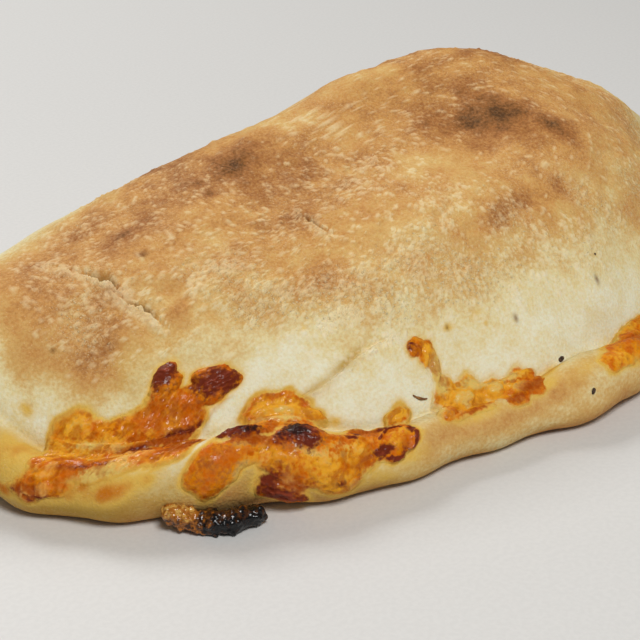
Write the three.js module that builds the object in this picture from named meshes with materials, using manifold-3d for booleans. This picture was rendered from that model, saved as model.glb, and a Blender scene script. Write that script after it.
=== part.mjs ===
/**
 * A large baked calzone: a disc of dough folded over its filling and sealed along one side.
 *
 * Millimetres, +Z up. The length runs along X, the rolled seam faces -Y and the fold faces +Y.
 * Cheese has leaked from the seam and baked on in separate patches, each set in its own shallow pocket.
 * Seam coordinates: "u" runs along the crease between rim and wall, from the left tip to the right one,
 * and "v" runs across it, positive up the wall and negative over the rim.
 */
import * as THREE from "three";
import { mergeVertices } from "three/addons/utils/BufferGeometryUtils.js";
import Module from "manifold-3d";

const wasm = await Module();
wasm.setup();

// ---- Overall sizes
const HALF_LENGTH = 158;
const SEAM_REACH = 92;
const FOLD_REACH = 72;
const SEAM_ROUNDNESS = 1.9;
const FOLD_ROUNDNESS = 2.6;
const LEFT_HEIGHT = 52.5;
const RIGHT_HEIGHT = 68.5;
const HEIGHT_BLEND = 110;
const HILL_RADIUS = 36;
const HILLS = [
  { x: -73, y: 23, rise: 6 },
  { x: -31, y: 29, rise: 10 },
  { x: 20, y: 49, rise: 19 },
  { x: 70, y: 31, rise: 13 },
  { x: 127, y: 23, rise: -3 },
];

// ---- The rolled rim at the seam, and the rounded fold opposite
const RIM_DIAMETER = 14.4;
const RIM_WRAP = THREE.MathUtils.degToRad(225);
const FOLD_RADIUS = 24;
const FOLD_WRAP = THREE.MathUtils.degToRad(140);
const SEAM_STARTS = 0.25;
const SEAM_FULL = -0.35;
const RIM_SHARE = 0.35;
const RIM_MIDDLE = 0.14;
const WALL_EASING = 1.3;
const SEAM_WALL_RUN = 26;
const FOLD_WALL_RUN = 16;
const BULGE_REACH = 24;
const PUSH_FADE = 32;
const BULGES = [
  { x: -135, swell: 1.6, push: 1.3 },
  { x: -105, swell: 9, push: -1.9 },
  { x: -75, swell: 0.7, push: 0.6 },
  { x: -45, swell: 2.2, push: -2.7 },
  { x: -15, swell: -1.2, push: -4.2 },
  { x: 18, swell: 5.4, push: 3.6 },
  { x: 58, swell: 0, push: -1 },
  { x: 95, swell: 3, push: 2 },
  { x: 130, swell: 0.5, push: -1 },
];

// ---- Relief of the dough
const LUMPS = [
  { size: 34, height: 1.3, seed: 3 },
  { size: 19, height: 0.9, seed: 11 },
];
const LUMPS_START = 2;
const LUMPS_FULL = 12;
const HASH = { x: 127.1, y: 311.7, seed: 74.7, scale: 43758.5453 };
const CRIMP_HEIGHT = 0.7;
const CRIMP_PITCH = 27;
const CRIMP_START = -3;
const CRIMP_FULL = -10;
const CREASE_FADE = 4;
const BASE_FADE = 1.5;
const FLAPS = [
  { u: -59, v: 2, radius: 22.5, height: 1.5, edge: 1.6 },
  { u: -106, v: 5.5, radius: 6, height: 1.8, edge: 1.6 },
  { u: 96, v: -2, radius: 21, height: 1.4, edge: 1.8 },
];
const PLEATS = [
  { u: -115, v: -14, length: 20, width: 4, turn: 0.22, height: 1.4 },
  { u: -28, v: -14, length: 18, width: 3, turn: 0.35, height: 0.8 },
  { u: 71, v: -12, length: 20, width: 3.2, turn: 0.5, height: 1.3 },
  { u: 118, v: -13, length: 18, width: 3, turn: 0.45, height: 1.2 },
];

// ---- The split in the crust near the left end, from its far end to its near end
const SPLIT = [
  { x: -112, y: 13, wide: 0.4, deep: 0.8 },
  { x: -108, y: 2, wide: 1.1, deep: 2.2 },
  { x: -105.5, y: -5, wide: 1.7, deep: 2.6 },
  { x: -103.5, y: -12, wide: 1.2, deep: 2.4 },
  { x: -101, y: -22, wide: 0.4, deep: 0.8 },
];
const SPLIT_LIFT = 2;

// ---- Leaked cheese: round-edged pads that follow the dough, in seam coordinates
const POCKET_GAP = 0.3;
const PAD_SINK = 1.3;
const PAD_LID = 2;
const PAD_SECTORS = 12;
const PAD_SHOULDER = 0.7;
const WOBBLE = 0.07;
const CREASE_FILL = 6;
const CREASE_FILL_INNER = 3;
const CREASE_FILL_OUTER = 11;
const SLOPE_REACH = 1.5;
const LEFT_CHEESE = [
  { u: -149, v: 6, long: 8.5, wide: 9.5, turn: 0.1, thick: 1.5 },
  { u: -141, v: 3.5, long: 10, wide: 9, turn: 0, thick: 1.6 },
  { u: -133, v: 7, long: 10, wide: 9.5, turn: 0, thick: 1.7 },
  { u: -123, v: 8, long: 9.5, wide: 9.5, turn: 0, thick: 1.8 },
  { u: -118.5, v: 5.5, long: 5.6, wide: 8.5, turn: 0, thick: 1.9 },
  { u: -121, v: 15, long: 8.5, wide: 6.5, turn: 0, thick: 2 },
  { u: -129, v: 18, long: 5, wide: 6, turn: 0, thick: 2 },
  { u: -130, v: 23.2, long: 6.6, wide: 4.2, turn: 2.03, thick: 3 },
  { u: -113.6, v: 18.3, long: 9.4, wide: 5.8, turn: -0.5, thick: 3.2 },
  { u: -147, v: -6, long: 9, wide: 7, turn: 0, thick: 1.3 },
  { u: -148, v: -14.5, long: 9.5, wide: 5.5, turn: 0.1, thick: 1.2 },
  { u: -134.5, v: -8.6, long: 10.5, wide: 6.4, turn: 0, thick: 1.25 },
  { u: -125, v: -6, long: 9, wide: 7.4, turn: 0.1, thick: 1.4 },
  { u: -115.5, v: -7.4, long: 8, wide: 7.6, turn: -0.05, thick: 1.5 },
];
const MIDDLE_CHEESE = [
  { u: -93.5, v: 4.5, long: 7.8, wide: 6.3, turn: 0.1, thick: 1.6 },
  { u: -86, v: 4, long: 7, wide: 6, turn: -0.1, thick: 1.6 },
  { u: -80.5, v: 2.4, long: 4.8, wide: 3.6, turn: -0.1, thick: 1.4 },
  { u: -87, v: -3.2, long: 10, wide: 5, turn: 0, thick: 1.2 },
  { u: -53, v: 1.4, long: 4.8, wide: 4.8, turn: 0.15, thick: 1.4 },
  { u: -94.5, v: -9.5, long: 8.5, wide: 3.6, turn: 0, thick: 2 },
  { u: -80, v: -9.5, long: 7.5, wide: 5, turn: 0, thick: 2.3 },
  { u: -100, v: -20.5, long: 9, wide: 9.5, turn: 0.1, thick: 1.5 },
  { u: -92.5, v: -17, long: 6.6, wide: 6.4, turn: -0.2, thick: 1.4 },
  { u: -82, v: -18, long: 8, wide: 9.5, turn: 0, thick: 1.6 },
  { u: -83, v: -29, long: 6.5, wide: 6.5, turn: 0, thick: 1.6 },
  { u: -72, v: -17, long: 9, wide: 10.5, turn: 0, thick: 1.5 },
  { u: -63, v: -9, long: 8.5, wide: 9, turn: 0, thick: 1.5 },
  { u: -54.5, v: -9.5, long: 7.4, wide: 8, turn: 0, thick: 2 },
];
const RIGHT_CHEESE = [
  { u: -44, v: 20.5, long: 4.2, wide: 3.6, turn: 0.2, thick: 2.3 },
  { u: -39.5, v: 17.5, long: 4.6, wide: 5, turn: 0.2, thick: 1.9 },
  { u: -36.5, v: 12, long: 3, wide: 6, turn: 0.1, thick: 1.6 },
  { u: -34.5, v: 4, long: 5, wide: 7, turn: 0, thick: 1.6 },
  { u: -27, v: 2, long: 8, wide: 7, turn: 0, thick: 1.8 },
  { u: -18.5, v: 1.5, long: 8, wide: 5.6, turn: 0.1, thick: 1.6 },
  { u: -8.5, v: 1.5, long: 8, wide: 5, turn: 0.1, thick: 1.5 },
  { u: -12, v: -5, long: 6, wide: 4.8, turn: 0.1, thick: 1.5 },
  { u: -34, v: -5, long: 5.5, wide: 5, turn: 0.1, thick: 1.4 },
  { u: -26, v: -6, long: 9, wide: 2.8, turn: 0.15, thick: 1.1 },
  { u: -6.5, v: -3.8, long: 6.2, wide: 4.8, turn: 0.1, thick: 1.4 },
];
const FAR_CHEESE = [
  { u: 21.5, v: -12, long: 7.5, wide: 5, turn: 0.1, thick: 1.5 },
  { u: 31, v: -9, long: 9.5, wide: 7.5, turn: 0.1, thick: 1.7 },
  { u: 42, v: -4, long: 9, wide: 7, turn: 0.15, thick: 1.6 },
  { u: 51, v: 0, long: 6.5, wide: 4.6, turn: 0.2, thick: 1.4 },
];

// ---- The burnt drip that hangs from the rim to what the calzone lies on
const BUBBLE_DETAIL = 1;
const BUBBLES = [
  { u: -111.5, out: -0.4, z: 5.2, radius: 3.2 },
  { u: -107.5, out: 0.6, z: 4, radius: 3.6 },
  { u: -103, out: 1.8, z: 2.8, radius: 3.6 },
  { u: -98, out: 3.6, z: 2.8, radius: 3.9 },
  { u: -93, out: 3.8, z: 2.8, radius: 3.9 },
  { u: -88.5, out: 1.8, z: 3, radius: 3.2 },
  { u: -99.5, out: 1.4, z: 3.6, radius: 3 },
  { u: -91.5, out: 1.6, z: 3.4, radius: 3 },
];

// ---- Small toppings: a dried herb stalk and two baked-on crumbs
const TOPPING_DETAIL = 1;
const TOPPINGS = [
  { u: -44.5, v: 6, half: [2.7, 0.6, 0.6], turn: -0.5 },
  { u: 11, v: 1, half: [1.1, 0.8, 0.8], turn: 0.3 },
  { u: 7.4, v: -17.8, half: [1.2, 0.9, 0.7], turn: 0.6 },
];

// ---- How finely the dough is faceted
const SEAM_COLUMNS = 64;
const FOLD_COLUMNS = 36;
const RIM_ROWS = 8;
const TOP_ROWS = 12;
const PROFILE_STEPS = 70;
const STATION_STEPS = 500;
const ANGLE_STEPS = 2000;
const HEIGHT_STEPS = 40;
const NORMAL_STEP = 0.004;
const TIP_MARGIN = 0.02;

// ---- Looks
const DOUGH_COLOR = 0xd9b778;
const DOUGH_ROUGHNESS = 0.8;
const CHEESE_COLOR = 0xd98a1e;
const CHEESE_ROUGHNESS = 0.35;
const BURNT_COLOR = 0x1c1410;
const BURNT_ROUGHNESS = 0.4;

/** Eases from 0 at one value to 1 at another. */
function ease(from, to, value) {
  const t = THREE.MathUtils.clamp((value - from) / (to - from), 0, 1);
  return t * t * (3 - 2 * t);
}

/** Adds up what the bulges give at a station along the length. */
function bulge(x, quantity) {
  return BULGES.reduce((sum, b) => sum + b[quantity] * Math.exp(-(((x - b.x) / BULGE_REACH) ** 2)), 0);
}

/** The even edge of the plan at an angle round the centre. */
function planEdge(theta) {
  const c = Math.cos(theta);
  const s = Math.sin(theta);
  const sealed = s < 0;
  const power = 2 / (sealed ? SEAM_ROUNDNESS : FOLD_ROUNDNESS);
  const reach = sealed ? SEAM_REACH : FOLD_REACH;
  const x = HALF_LENGTH * Math.sign(c) * Math.abs(c) ** power;
  const y = reach * Math.sign(s) * Math.abs(s) ** power;
  return new THREE.Vector2(x, y);
}

/** The height of the crust well inside its edge. */
function crownHeight(x, y) {
  let height = THREE.MathUtils.lerp(LEFT_HEIGHT, RIGHT_HEIGHT, ease(-HEIGHT_BLEND, HEIGHT_BLEND, x));
  for (const hill of HILLS) {
    const away = Math.hypot(x - hill.x, y - hill.y) / HILL_RADIUS;
    height += hill.rise * Math.exp(-(away ** 2));
  }
  return height;
}

/** How much of the sealed rim, rather than the fold, an angle has. */
function seamShare(theta) {
  return ease(SEAM_STARTS, SEAM_FULL, Math.sin(theta));
}

/** Inset and height of a roll of a given radius, turned from its resting point. */
function roll(radius, turned) {
  return { inset: radius * (1 - Math.sin(turned)), z: radius * (1 - Math.cos(turned)) };
}

/** A point of the smooth crust. The share s runs from the resting edge, 0, to the middle of the top, 1. */
function smoothPoint(theta, s) {
  const edge = planEdge(theta);
  const reach = edge.length();
  const sealed = seamShare(theta);
  const rimRadius = (RIM_DIAMETER + bulge(edge.x, "swell")) / 2;
  const turned = THREE.MathUtils.clamp(s / RIM_SHARE, 0, 1);
  const rim = roll(rimRadius, RIM_WRAP * turned);
  const fold = roll(FOLD_RADIUS, FOLD_WRAP * turned);
  let inset = THREE.MathUtils.lerp(fold.inset, rim.inset, sealed);
  let z = THREE.MathUtils.lerp(fold.z, rim.z, sealed);
  if (s > RIM_SHARE) {
    const inward = ((s - RIM_SHARE) / (1 - RIM_SHARE)) ** WALL_EASING;
    const run = THREE.MathUtils.lerp(FOLD_WALL_RUN, SEAM_WALL_RUN, sealed);
    const remaining = reach - inset;
    inset += inward * remaining;
    const share = 1 - inset / reach;
    const crown = crownHeight(edge.x * share, edge.y * share);
    z += (crown - z) * (1 - Math.max(0, 1 - inward) ** (remaining / run));
  }
  const scale = 1 - inset / reach;
  const push = sealed * bulge(edge.x, "push") * Math.exp(-((inset / PUSH_FADE) ** 2));
  return new THREE.Vector3(edge.x * scale, edge.y * scale - push, z);
}

/** The crust's profile at an angle: shares, points and lengths measured from the crease. */
function profile(theta) {
  const shares = Array.from({ length: PROFILE_STEPS + 1 }, (_, i) => i / PROFILE_STEPS);
  const points = shares.map((s) => smoothPoint(theta, s));
  const lengths = [0];
  for (let i = 1; i < points.length; i += 1) {
    lengths.push(lengths[i - 1] + points[i].distanceTo(points[i - 1]));
  }
  const crease = interpolate(shares, lengths, RIM_SHARE);
  return { shares, lengths: lengths.map((l) => l - crease) };
}

/** Reads a rising table at a value. */
function interpolate(keys, values, key) {
  let i = 1;
  while (i < keys.length - 1 && keys[i] < key) {
    i += 1;
  }
  const t = THREE.MathUtils.clamp((key - keys[i - 1]) / (keys[i] - keys[i - 1]), 0, 1);
  return THREE.MathUtils.lerp(values[i - 1], values[i], t);
}

/** The table that turns an angle into a distance u along the crease. */
function creaseTable() {
  const span = Math.PI - 2 * TIP_MARGIN;
  const angles = Array.from(
    { length: STATION_STEPS },
    (_, i) => Math.PI + TIP_MARGIN + (span * i) / (STATION_STEPS - 1),
  );
  const distances = [0];
  let last = smoothPoint(angles[0], RIM_SHARE);
  for (let i = 1; i < angles.length; i += 1) {
    const next = smoothPoint(angles[i], RIM_SHARE);
    distances.push(distances[i - 1] + Math.hypot(next.x - last.x, next.y - last.y));
    last = next;
  }
  const middle = interpolate(angles, distances, 1.5 * Math.PI);
  return { angles, distances: distances.map((d) => d - middle) };
}

const CREASE = creaseTable();

/** The outward normal of the smooth crust. */
function smoothNormal(theta, s) {
  const low = Math.max(0, s - NORMAL_STEP);
  const high = Math.min(1 - NORMAL_STEP, s + NORMAL_STEP);
  const level = Math.min(s, 1 - NORMAL_STEP);
  const around = smoothPoint(theta + NORMAL_STEP, level).sub(smoothPoint(theta - NORMAL_STEP, level));
  const across = smoothPoint(theta, high).sub(smoothPoint(theta, low));
  return around.cross(across).normalize();
}

/** A fixed value from 0 to 1 for a corner of a lattice. */
function cornerValue(i, j, seed) {
  const wave = Math.sin(i * HASH.x + j * HASH.y + seed * HASH.seed) * HASH.scale;
  return wave - Math.floor(wave);
}

/** Smooth lumps from -1 to 1 with one corner every unit. */
function lumps(x, y, seed) {
  const i = Math.floor(x);
  const j = Math.floor(y);
  const s = ease(0, 1, x - i);
  const t = ease(0, 1, y - j);
  const near = THREE.MathUtils.lerp(cornerValue(i, j, seed), cornerValue(i + 1, j, seed), s);
  const far = THREE.MathUtils.lerp(cornerValue(i, j + 1, seed), cornerValue(i + 1, j + 1, seed), s);
  return 2 * THREE.MathUtils.lerp(near, far, t) - 1;
}

/** How far the dough stands out from the smooth crust. */
function relief(u, v, point, sealed) {
  let height = 0;
  for (const { size, height: rise, seed } of LUMPS) {
    height += rise * lumps(point.x / size, point.y / size, seed);
  }
  height *= ease(LUMPS_START, LUMPS_FULL, point.z);
  if (v < 0) {
    const wave = Math.sin((2 * Math.PI * u) / CRIMP_PITCH);
    height += sealed * CRIMP_HEIGHT * wave * ease(CRIMP_START, CRIMP_FULL, v);
  }
  for (const flap of FLAPS) {
    const away = Math.hypot(u - flap.u, v - flap.v);
    height += v > 0 ? flap.height * ease(flap.radius + flap.edge, flap.radius - flap.edge, away) : 0;
  }
  for (const pleat of PLEATS) {
    const du = u - pleat.u;
    const dv = v - pleat.v;
    const along = (du * Math.cos(pleat.turn) + dv * Math.sin(pleat.turn)) / (pleat.length / 2);
    const across = (dv * Math.cos(pleat.turn) - du * Math.sin(pleat.turn)) / pleat.width;
    height += v < 0 ? pleat.height * Math.exp(-(along ** 2) - across ** 2) : 0;
  }
  return height * ease(0, CREASE_FADE, Math.abs(v)) * ease(0, BASE_FADE, point.z);
}

/** A point of the dough with its relief. */
function doughPoint(theta, s, v) {
  const point = smoothPoint(theta, s);
  const turn = THREE.MathUtils.euclideanModulo(theta, 2 * Math.PI);
  const u = interpolate(CREASE.angles, CREASE.distances, turn);
  const height = relief(u, v, point, seamShare(theta));
  return point.addScaledVector(smoothNormal(theta, s), height);
}

/** A point of the dough in seam coordinates. */
function seamPoint(u, v) {
  const theta = interpolate(CREASE.distances, CREASE.angles, u);
  const { shares, lengths } = profile(theta);
  return doughPoint(theta, interpolate(lengths, shares, v), v);
}

/** Where cheese lies in seam coordinates, raised along its normal. It bridges the crease. */
function skinPoint(u, v, height) {
  const fill = CREASE_FILL * ease(CREASE_FILL_OUTER, CREASE_FILL_INNER, Math.abs(v));
  const low = seamPoint(u, v - fill);
  const high = seamPoint(u, v + fill);
  const point = seamPoint(u, v).add(low).add(high).divideScalar(3);
  const reach = fill + SLOPE_REACH;
  const across = seamPoint(u, v + reach).sub(seamPoint(u, v - reach));
  const along = seamPoint(u + SLOPE_REACH, v).sub(seamPoint(u - SLOPE_REACH, v));
  return point.addScaledVector(along.cross(across).normalize(), height);
}

/** A closed body from points and triangles. */
function body(points, triangles) {
  const vertProperties = new Float32Array(points.flatMap((p) => [p.x, p.y, p.z]));
  const triVerts = new Uint32Array(triangles);
  return new wasm.Manifold(new wasm.Mesh({ numProp: 3, vertProperties, triVerts }));
}

/** A closed body from a three.js geometry. */
function bodyOf(geometry) {
  geometry.deleteAttribute("normal");
  geometry.deleteAttribute("uv");
  const merged = mergeVertices(geometry);
  const position = merged.getAttribute("position");
  const points = [];
  for (let i = 0; i < position.count; i += 1) {
    points.push(new THREE.Vector3().fromBufferAttribute(position, i));
  }
  return body(points, Array.from(merged.index.array));
}

/** The union of several bodies. */
function joined(bodies) {
  return bodies.reduce((whole, next) => whole.add(next));
}

/** Adds the triangles of a strip between two rings of equal count. */
function strip(triangles, lower, upper, count) {
  for (let i = 0; i < count; i += 1) {
    const j = (i + 1) % count;
    triangles.push(lower + i, lower + j, upper + j, lower + i, upper + j, upper + i);
  }
}

/** Adds the triangles of a fan from a ring to its middle. */
function fan(triangles, ring, middle, count) {
  for (let i = 0; i < count; i += 1) {
    triangles.push(ring + i, ring + ((i + 1) % count), middle);
  }
}

/** The angles of the dough's columns: close together along the seam, wider along the fold. */
function columnAngles() {
  const first = CREASE.distances[0];
  const span = CREASE.distances[CREASE.distances.length - 1] - first;
  const sealed = Array.from({ length: SEAM_COLUMNS }, (_, i) =>
    interpolate(CREASE.distances, CREASE.angles, first + (span * i) / (SEAM_COLUMNS - 1)),
  );
  const from = sealed[SEAM_COLUMNS - 1];
  const gap = sealed[0] + 2 * Math.PI - from;
  const folded = Array.from({ length: FOLD_COLUMNS }, (_, i) => from + (gap * (i + 1)) / (FOLD_COLUMNS + 1));
  return [...sealed, ...folded];
}

/** The whole dough as one closed body, flat underneath. */
function doughBody() {
  const angles = columnAngles();
  const rows = RIM_ROWS + TOP_ROWS;
  const shares = Array.from({ length: rows }, (_, i) =>
    i <= RIM_ROWS ? (RIM_SHARE * i) / RIM_ROWS : RIM_SHARE + ((1 - RIM_SHARE) * (i - RIM_ROWS)) / TOP_ROWS,
  );
  const columns = angles.map((theta) => ({ theta, ...profile(theta) }));
  const points = shares.flatMap((s) =>
    columns.map((column) => doughPoint(column.theta, s, interpolate(column.shares, column.lengths, s))),
  );
  const triangles = [];
  for (let row = 0; row + 1 < rows; row += 1) {
    strip(triangles, row * angles.length, (row + 1) * angles.length, angles.length);
  }
  points.push(new THREE.Vector3(0, 0, crownHeight(0, 0)), new THREE.Vector3(0, 0, 0));
  fan(triangles, (rows - 1) * angles.length, points.length - 2, angles.length);
  const under = [];
  fan(under, 0, points.length - 1, angles.length);
  triangles.push(...under.reverse());
  return body(points, triangles);
}

/** The edge of a pad at a share of its size, raised by a height. */
function padRing(pad, share, grow, height) {
  return Array.from({ length: PAD_SECTORS }, (_, i) => {
    const angle = (2 * Math.PI * i) / PAD_SECTORS;
    const wobble = 1 + WOBBLE * (Math.sin(3 * angle + pad.u) + Math.sin(5 * angle + pad.v));
    const a = (pad.long * wobble + grow) * share * Math.cos(angle);
    const b = (pad.wide * wobble + grow) * share * Math.sin(angle);
    const u = pad.u + a * Math.cos(pad.turn) - b * Math.sin(pad.turn);
    const v = pad.v + a * Math.sin(pad.turn) + b * Math.cos(pad.turn);
    return skinPoint(u, v, height);
  });
}

/** Closes a stack of rings, the first one lowest, with a middle point at each end. */
function stacked(rings, under, over) {
  const points = [...rings.flat(), under, over];
  const triangles = [];
  for (let i = 0; i + 1 < rings.length; i += 1) {
    strip(triangles, i * PAD_SECTORS, (i + 1) * PAD_SECTORS, PAD_SECTORS);
  }
  fan(triangles, (rings.length - 1) * PAD_SECTORS, points.length - 1, PAD_SECTORS);
  const below = [];
  fan(below, 0, points.length - 2, PAD_SECTORS);
  triangles.push(...below.reverse());
  return body(points, triangles);
}

/** One pad of cheese, domed on top and sunk into the dough. */
function padBody(pad) {
  const { u, v, thick } = pad;
  const shoulder = padRing(pad, PAD_SHOULDER, 0, thick * Math.sqrt(1 - PAD_SHOULDER ** 2));
  return stacked([padRing(pad, 1, 0, 0), shoulder], skinPoint(u, v, -PAD_SINK), skinPoint(u, v, thick));
}

/** The pocket that a pad lies in, open above. */
function pocketBody(pad) {
  const { u, v } = pad;
  const rings = [padRing(pad, 1, POCKET_GAP, -POCKET_GAP), padRing(pad, 1, POCKET_GAP, PAD_LID)];
  return stacked(rings, skinPoint(u, v, -PAD_SINK - POCKET_GAP), skinPoint(u, v, PAD_LID));
}

/** One bubble of the burnt drip, cut flat where it reaches the base. */
function bubbleBody(bubble, grow) {
  const edge = smoothPoint(interpolate(CREASE.distances, CREASE.angles, bubble.u), RIM_MIDDLE);
  const scale = 1 + bubble.out / Math.hypot(edge.x, edge.y);
  const geometry = new THREE.IcosahedronGeometry(bubble.radius + grow, BUBBLE_DETAIL);
  geometry.rotateZ(bubble.u);
  geometry.translate(edge.x * scale, edge.y * scale, bubble.z);
  const position = geometry.getAttribute("position");
  for (let i = 0; i < position.count; i += 1) {
    position.setZ(i, Math.max(position.getZ(i), -grow));
  }
  return bodyOf(geometry);
}

/** One small topping, half sunk into the crust. */
function toppingBody(topping) {
  const { u, v } = topping;
  const origin = seamPoint(u, v);
  const along = seamPoint(u + 1, v).sub(seamPoint(u - 1, v)).normalize();
  const across = seamPoint(u, v + 1).sub(seamPoint(u, v - 1)).normalize();
  const normal = along.clone().cross(across).normalize();
  const geometry = new THREE.OctahedronGeometry(1, TOPPING_DETAIL);
  geometry.scale(...topping.half);
  geometry.rotateZ(topping.turn);
  const frame = new THREE.Matrix4().makeBasis(along, normal.clone().cross(along), normal).setPosition(origin);
  geometry.applyMatrix4(frame);
  return bodyOf(geometry);
}

/** The wedge that the split leaves open, wider at the surface. */
function splitBody() {
  const sections = SPLIT.map((point, i) => {
    const before = SPLIT[Math.max(0, i - 1)];
    const after = SPLIT[Math.min(SPLIT.length - 1, i + 1)];
    const mouth = (point.wide * (point.deep + SPLIT_LIFT)) / point.deep;
    const side = new THREE.Vector3(before.y - after.y, after.x - before.x, 0).setLength(mouth);
    const surface = surfaceHeight(point.x, point.y);
    const keel = new THREE.Vector3(point.x, point.y, surface - point.deep);
    const above = new THREE.Vector3(point.x, point.y, surface + SPLIT_LIFT);
    return [keel, above.clone().add(side), above.clone().sub(side)];
  });
  const triangles = [];
  for (let i = 0; i + 1 < sections.length; i += 1) {
    strip(triangles, i * 3, (i + 1) * 3, 3);
  }
  const last = (sections.length - 1) * 3;
  triangles.push(2, 1, 0, last, last + 1, last + 2);
  return body(sections.flat(), triangles);
}

/** The height of the dough's top above a place in the plan. */
function surfaceHeight(x, y) {
  let low = RIM_SHARE;
  let high = 1;
  const theta = angleThrough(x, y);
  const reach = Math.hypot(x, y);
  for (let i = 0; i < HEIGHT_STEPS; i += 1) {
    const middle = (low + high) / 2;
    const point = smoothPoint(theta, middle);
    if (Math.hypot(point.x, point.y) > reach) {
      low = middle;
    } else {
      high = middle;
    }
  }
  return smoothPoint(theta, low).z;
}

/** The plan's parameter angle whose edge lies in the direction of a place. */
function angleThrough(x, y) {
  const wanted = THREE.MathUtils.euclideanModulo(Math.atan2(y, x), 2 * Math.PI);
  let best = 0;
  let miss = Infinity;
  for (let i = 0; i < ANGLE_STEPS; i += 1) {
    const theta = (2 * Math.PI * i) / ANGLE_STEPS;
    const edge = planEdge(theta);
    const found = THREE.MathUtils.euclideanModulo(Math.atan2(edge.y, edge.x), 2 * Math.PI);
    const off = Math.abs(found - wanted);
    if (off < miss) {
      miss = off;
      best = theta;
    }
  }
  return best;
}

/** A named mesh from a closed body. */
function meshOf(name, solid, color, roughness) {
  const { vertProperties, triVerts } = solid.getMesh();
  const geometry = new THREE.BufferGeometry();
  geometry.setAttribute("position", new THREE.BufferAttribute(new Float32Array(vertProperties), 3));
  geometry.setIndex(new THREE.BufferAttribute(new Uint32Array(triVerts), 1));
  geometry.computeVertexNormals();
  const mesh = new THREE.Mesh(geometry, new THREE.MeshStandardMaterial({ color, roughness, metalness: 0 }));
  mesh.name = name;
  return mesh;
}

// ---- The pieces
const PATCHES = {
  cheese_left: LEFT_CHEESE,
  cheese_middle: MIDDLE_CHEESE,
  cheese_right: RIGHT_CHEESE,
  cheese_far: FAR_CHEESE,
};
const drip = joined(BUBBLES.map((bubble) => bubbleBody(bubble, 0)));
const dripSpace = joined(BUBBLES.map((bubble) => bubbleBody(bubble, POCKET_GAP)));
let dough = joined([doughBody(), ...TOPPINGS.map(toppingBody)]).subtract(splitBody()).subtract(dripSpace);
const cheeses = Object.entries(PATCHES).map(([name, pads]) => {
  dough = dough.subtract(joined(pads.map(pocketBody)));
  return meshOf(name, joined(pads.map(padBody)).subtract(dripSpace), CHEESE_COLOR, CHEESE_ROUGHNESS);
});

const calzone = new THREE.Group();
calzone.name = "calzone";
calzone.add(
  meshOf("dough", dough, DOUGH_COLOR, DOUGH_ROUGHNESS),
  meshOf("burnt_drip", drip, BURNT_COLOR, BURNT_ROUGHNESS),
  ...cheeses,
);
const bounds = new THREE.Box3().setFromObject(calzone);
const middle = bounds.getCenter(new THREE.Vector3());
calzone.position.set(-middle.x, -middle.y, -bounds.min.z);

export default calzone;
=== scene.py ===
"""A large baked calzone: a browned, blistered crust with cheese leaked and baked on along its seam.

Shapes are worked out in millimetres from the same driving sizes as the solids, in the crust's own frame,
and moved into the shared frame when a mesh is made. "theta" is the plan's angle, "s" the share of the way
from the resting edge, 0, to the middle of the top, 1. Seam coordinates are "u", along the crease between
rim and wall, and "v", across it, positive up the wall and negative over the rim.
"""

import logging
import math
from dataclasses import dataclass
from enum import Enum

import bmesh
import bpy
import numpy as np
from bpy.types import Node, NodeSocket, NodeTree, Object
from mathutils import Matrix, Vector
from mathutils.kdtree import KDTree


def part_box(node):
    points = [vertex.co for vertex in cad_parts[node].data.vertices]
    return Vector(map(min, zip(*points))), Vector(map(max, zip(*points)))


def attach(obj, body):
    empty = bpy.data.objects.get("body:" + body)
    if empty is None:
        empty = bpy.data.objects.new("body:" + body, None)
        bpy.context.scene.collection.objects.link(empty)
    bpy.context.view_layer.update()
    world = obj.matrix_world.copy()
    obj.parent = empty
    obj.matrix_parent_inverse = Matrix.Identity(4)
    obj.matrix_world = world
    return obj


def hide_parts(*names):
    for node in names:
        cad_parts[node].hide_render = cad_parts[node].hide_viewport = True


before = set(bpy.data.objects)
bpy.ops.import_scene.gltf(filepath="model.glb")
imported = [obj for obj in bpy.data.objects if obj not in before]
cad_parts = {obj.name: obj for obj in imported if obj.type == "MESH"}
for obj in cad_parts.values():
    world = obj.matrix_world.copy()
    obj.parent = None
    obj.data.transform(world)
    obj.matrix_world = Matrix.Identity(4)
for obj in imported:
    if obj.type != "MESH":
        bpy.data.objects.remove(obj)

logging.basicConfig(level=logging.INFO, format="%(message)s")
log = logging.getLogger("calzone")

Array = np.ndarray
Pair = tuple[float, float]
frozen = dataclass(frozen=True)
MM = 0.001
TINY = 1e-9
SEED = 20


def ease(start: float, full: float, value: Array | float) -> Array:
    """Eases from 0 at one value to 1 at another."""
    t = np.clip((np.asarray(value, float) - start) / (full - start), 0, 1)
    return t * t * (3 - 2 * t)


def linear(red: int, green: int, blue: int) -> tuple[float, float, float, float]:
    """Turns a display colour, 0 to 255, into the linear colour that shaders take."""
    shares = np.array([red, green, blue]) / 255
    return (*np.where(shares <= 0.04045, shares / 12.92, ((shares + 0.055) / 1.055) ** 2.4).tolist(), 1.0)


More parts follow.
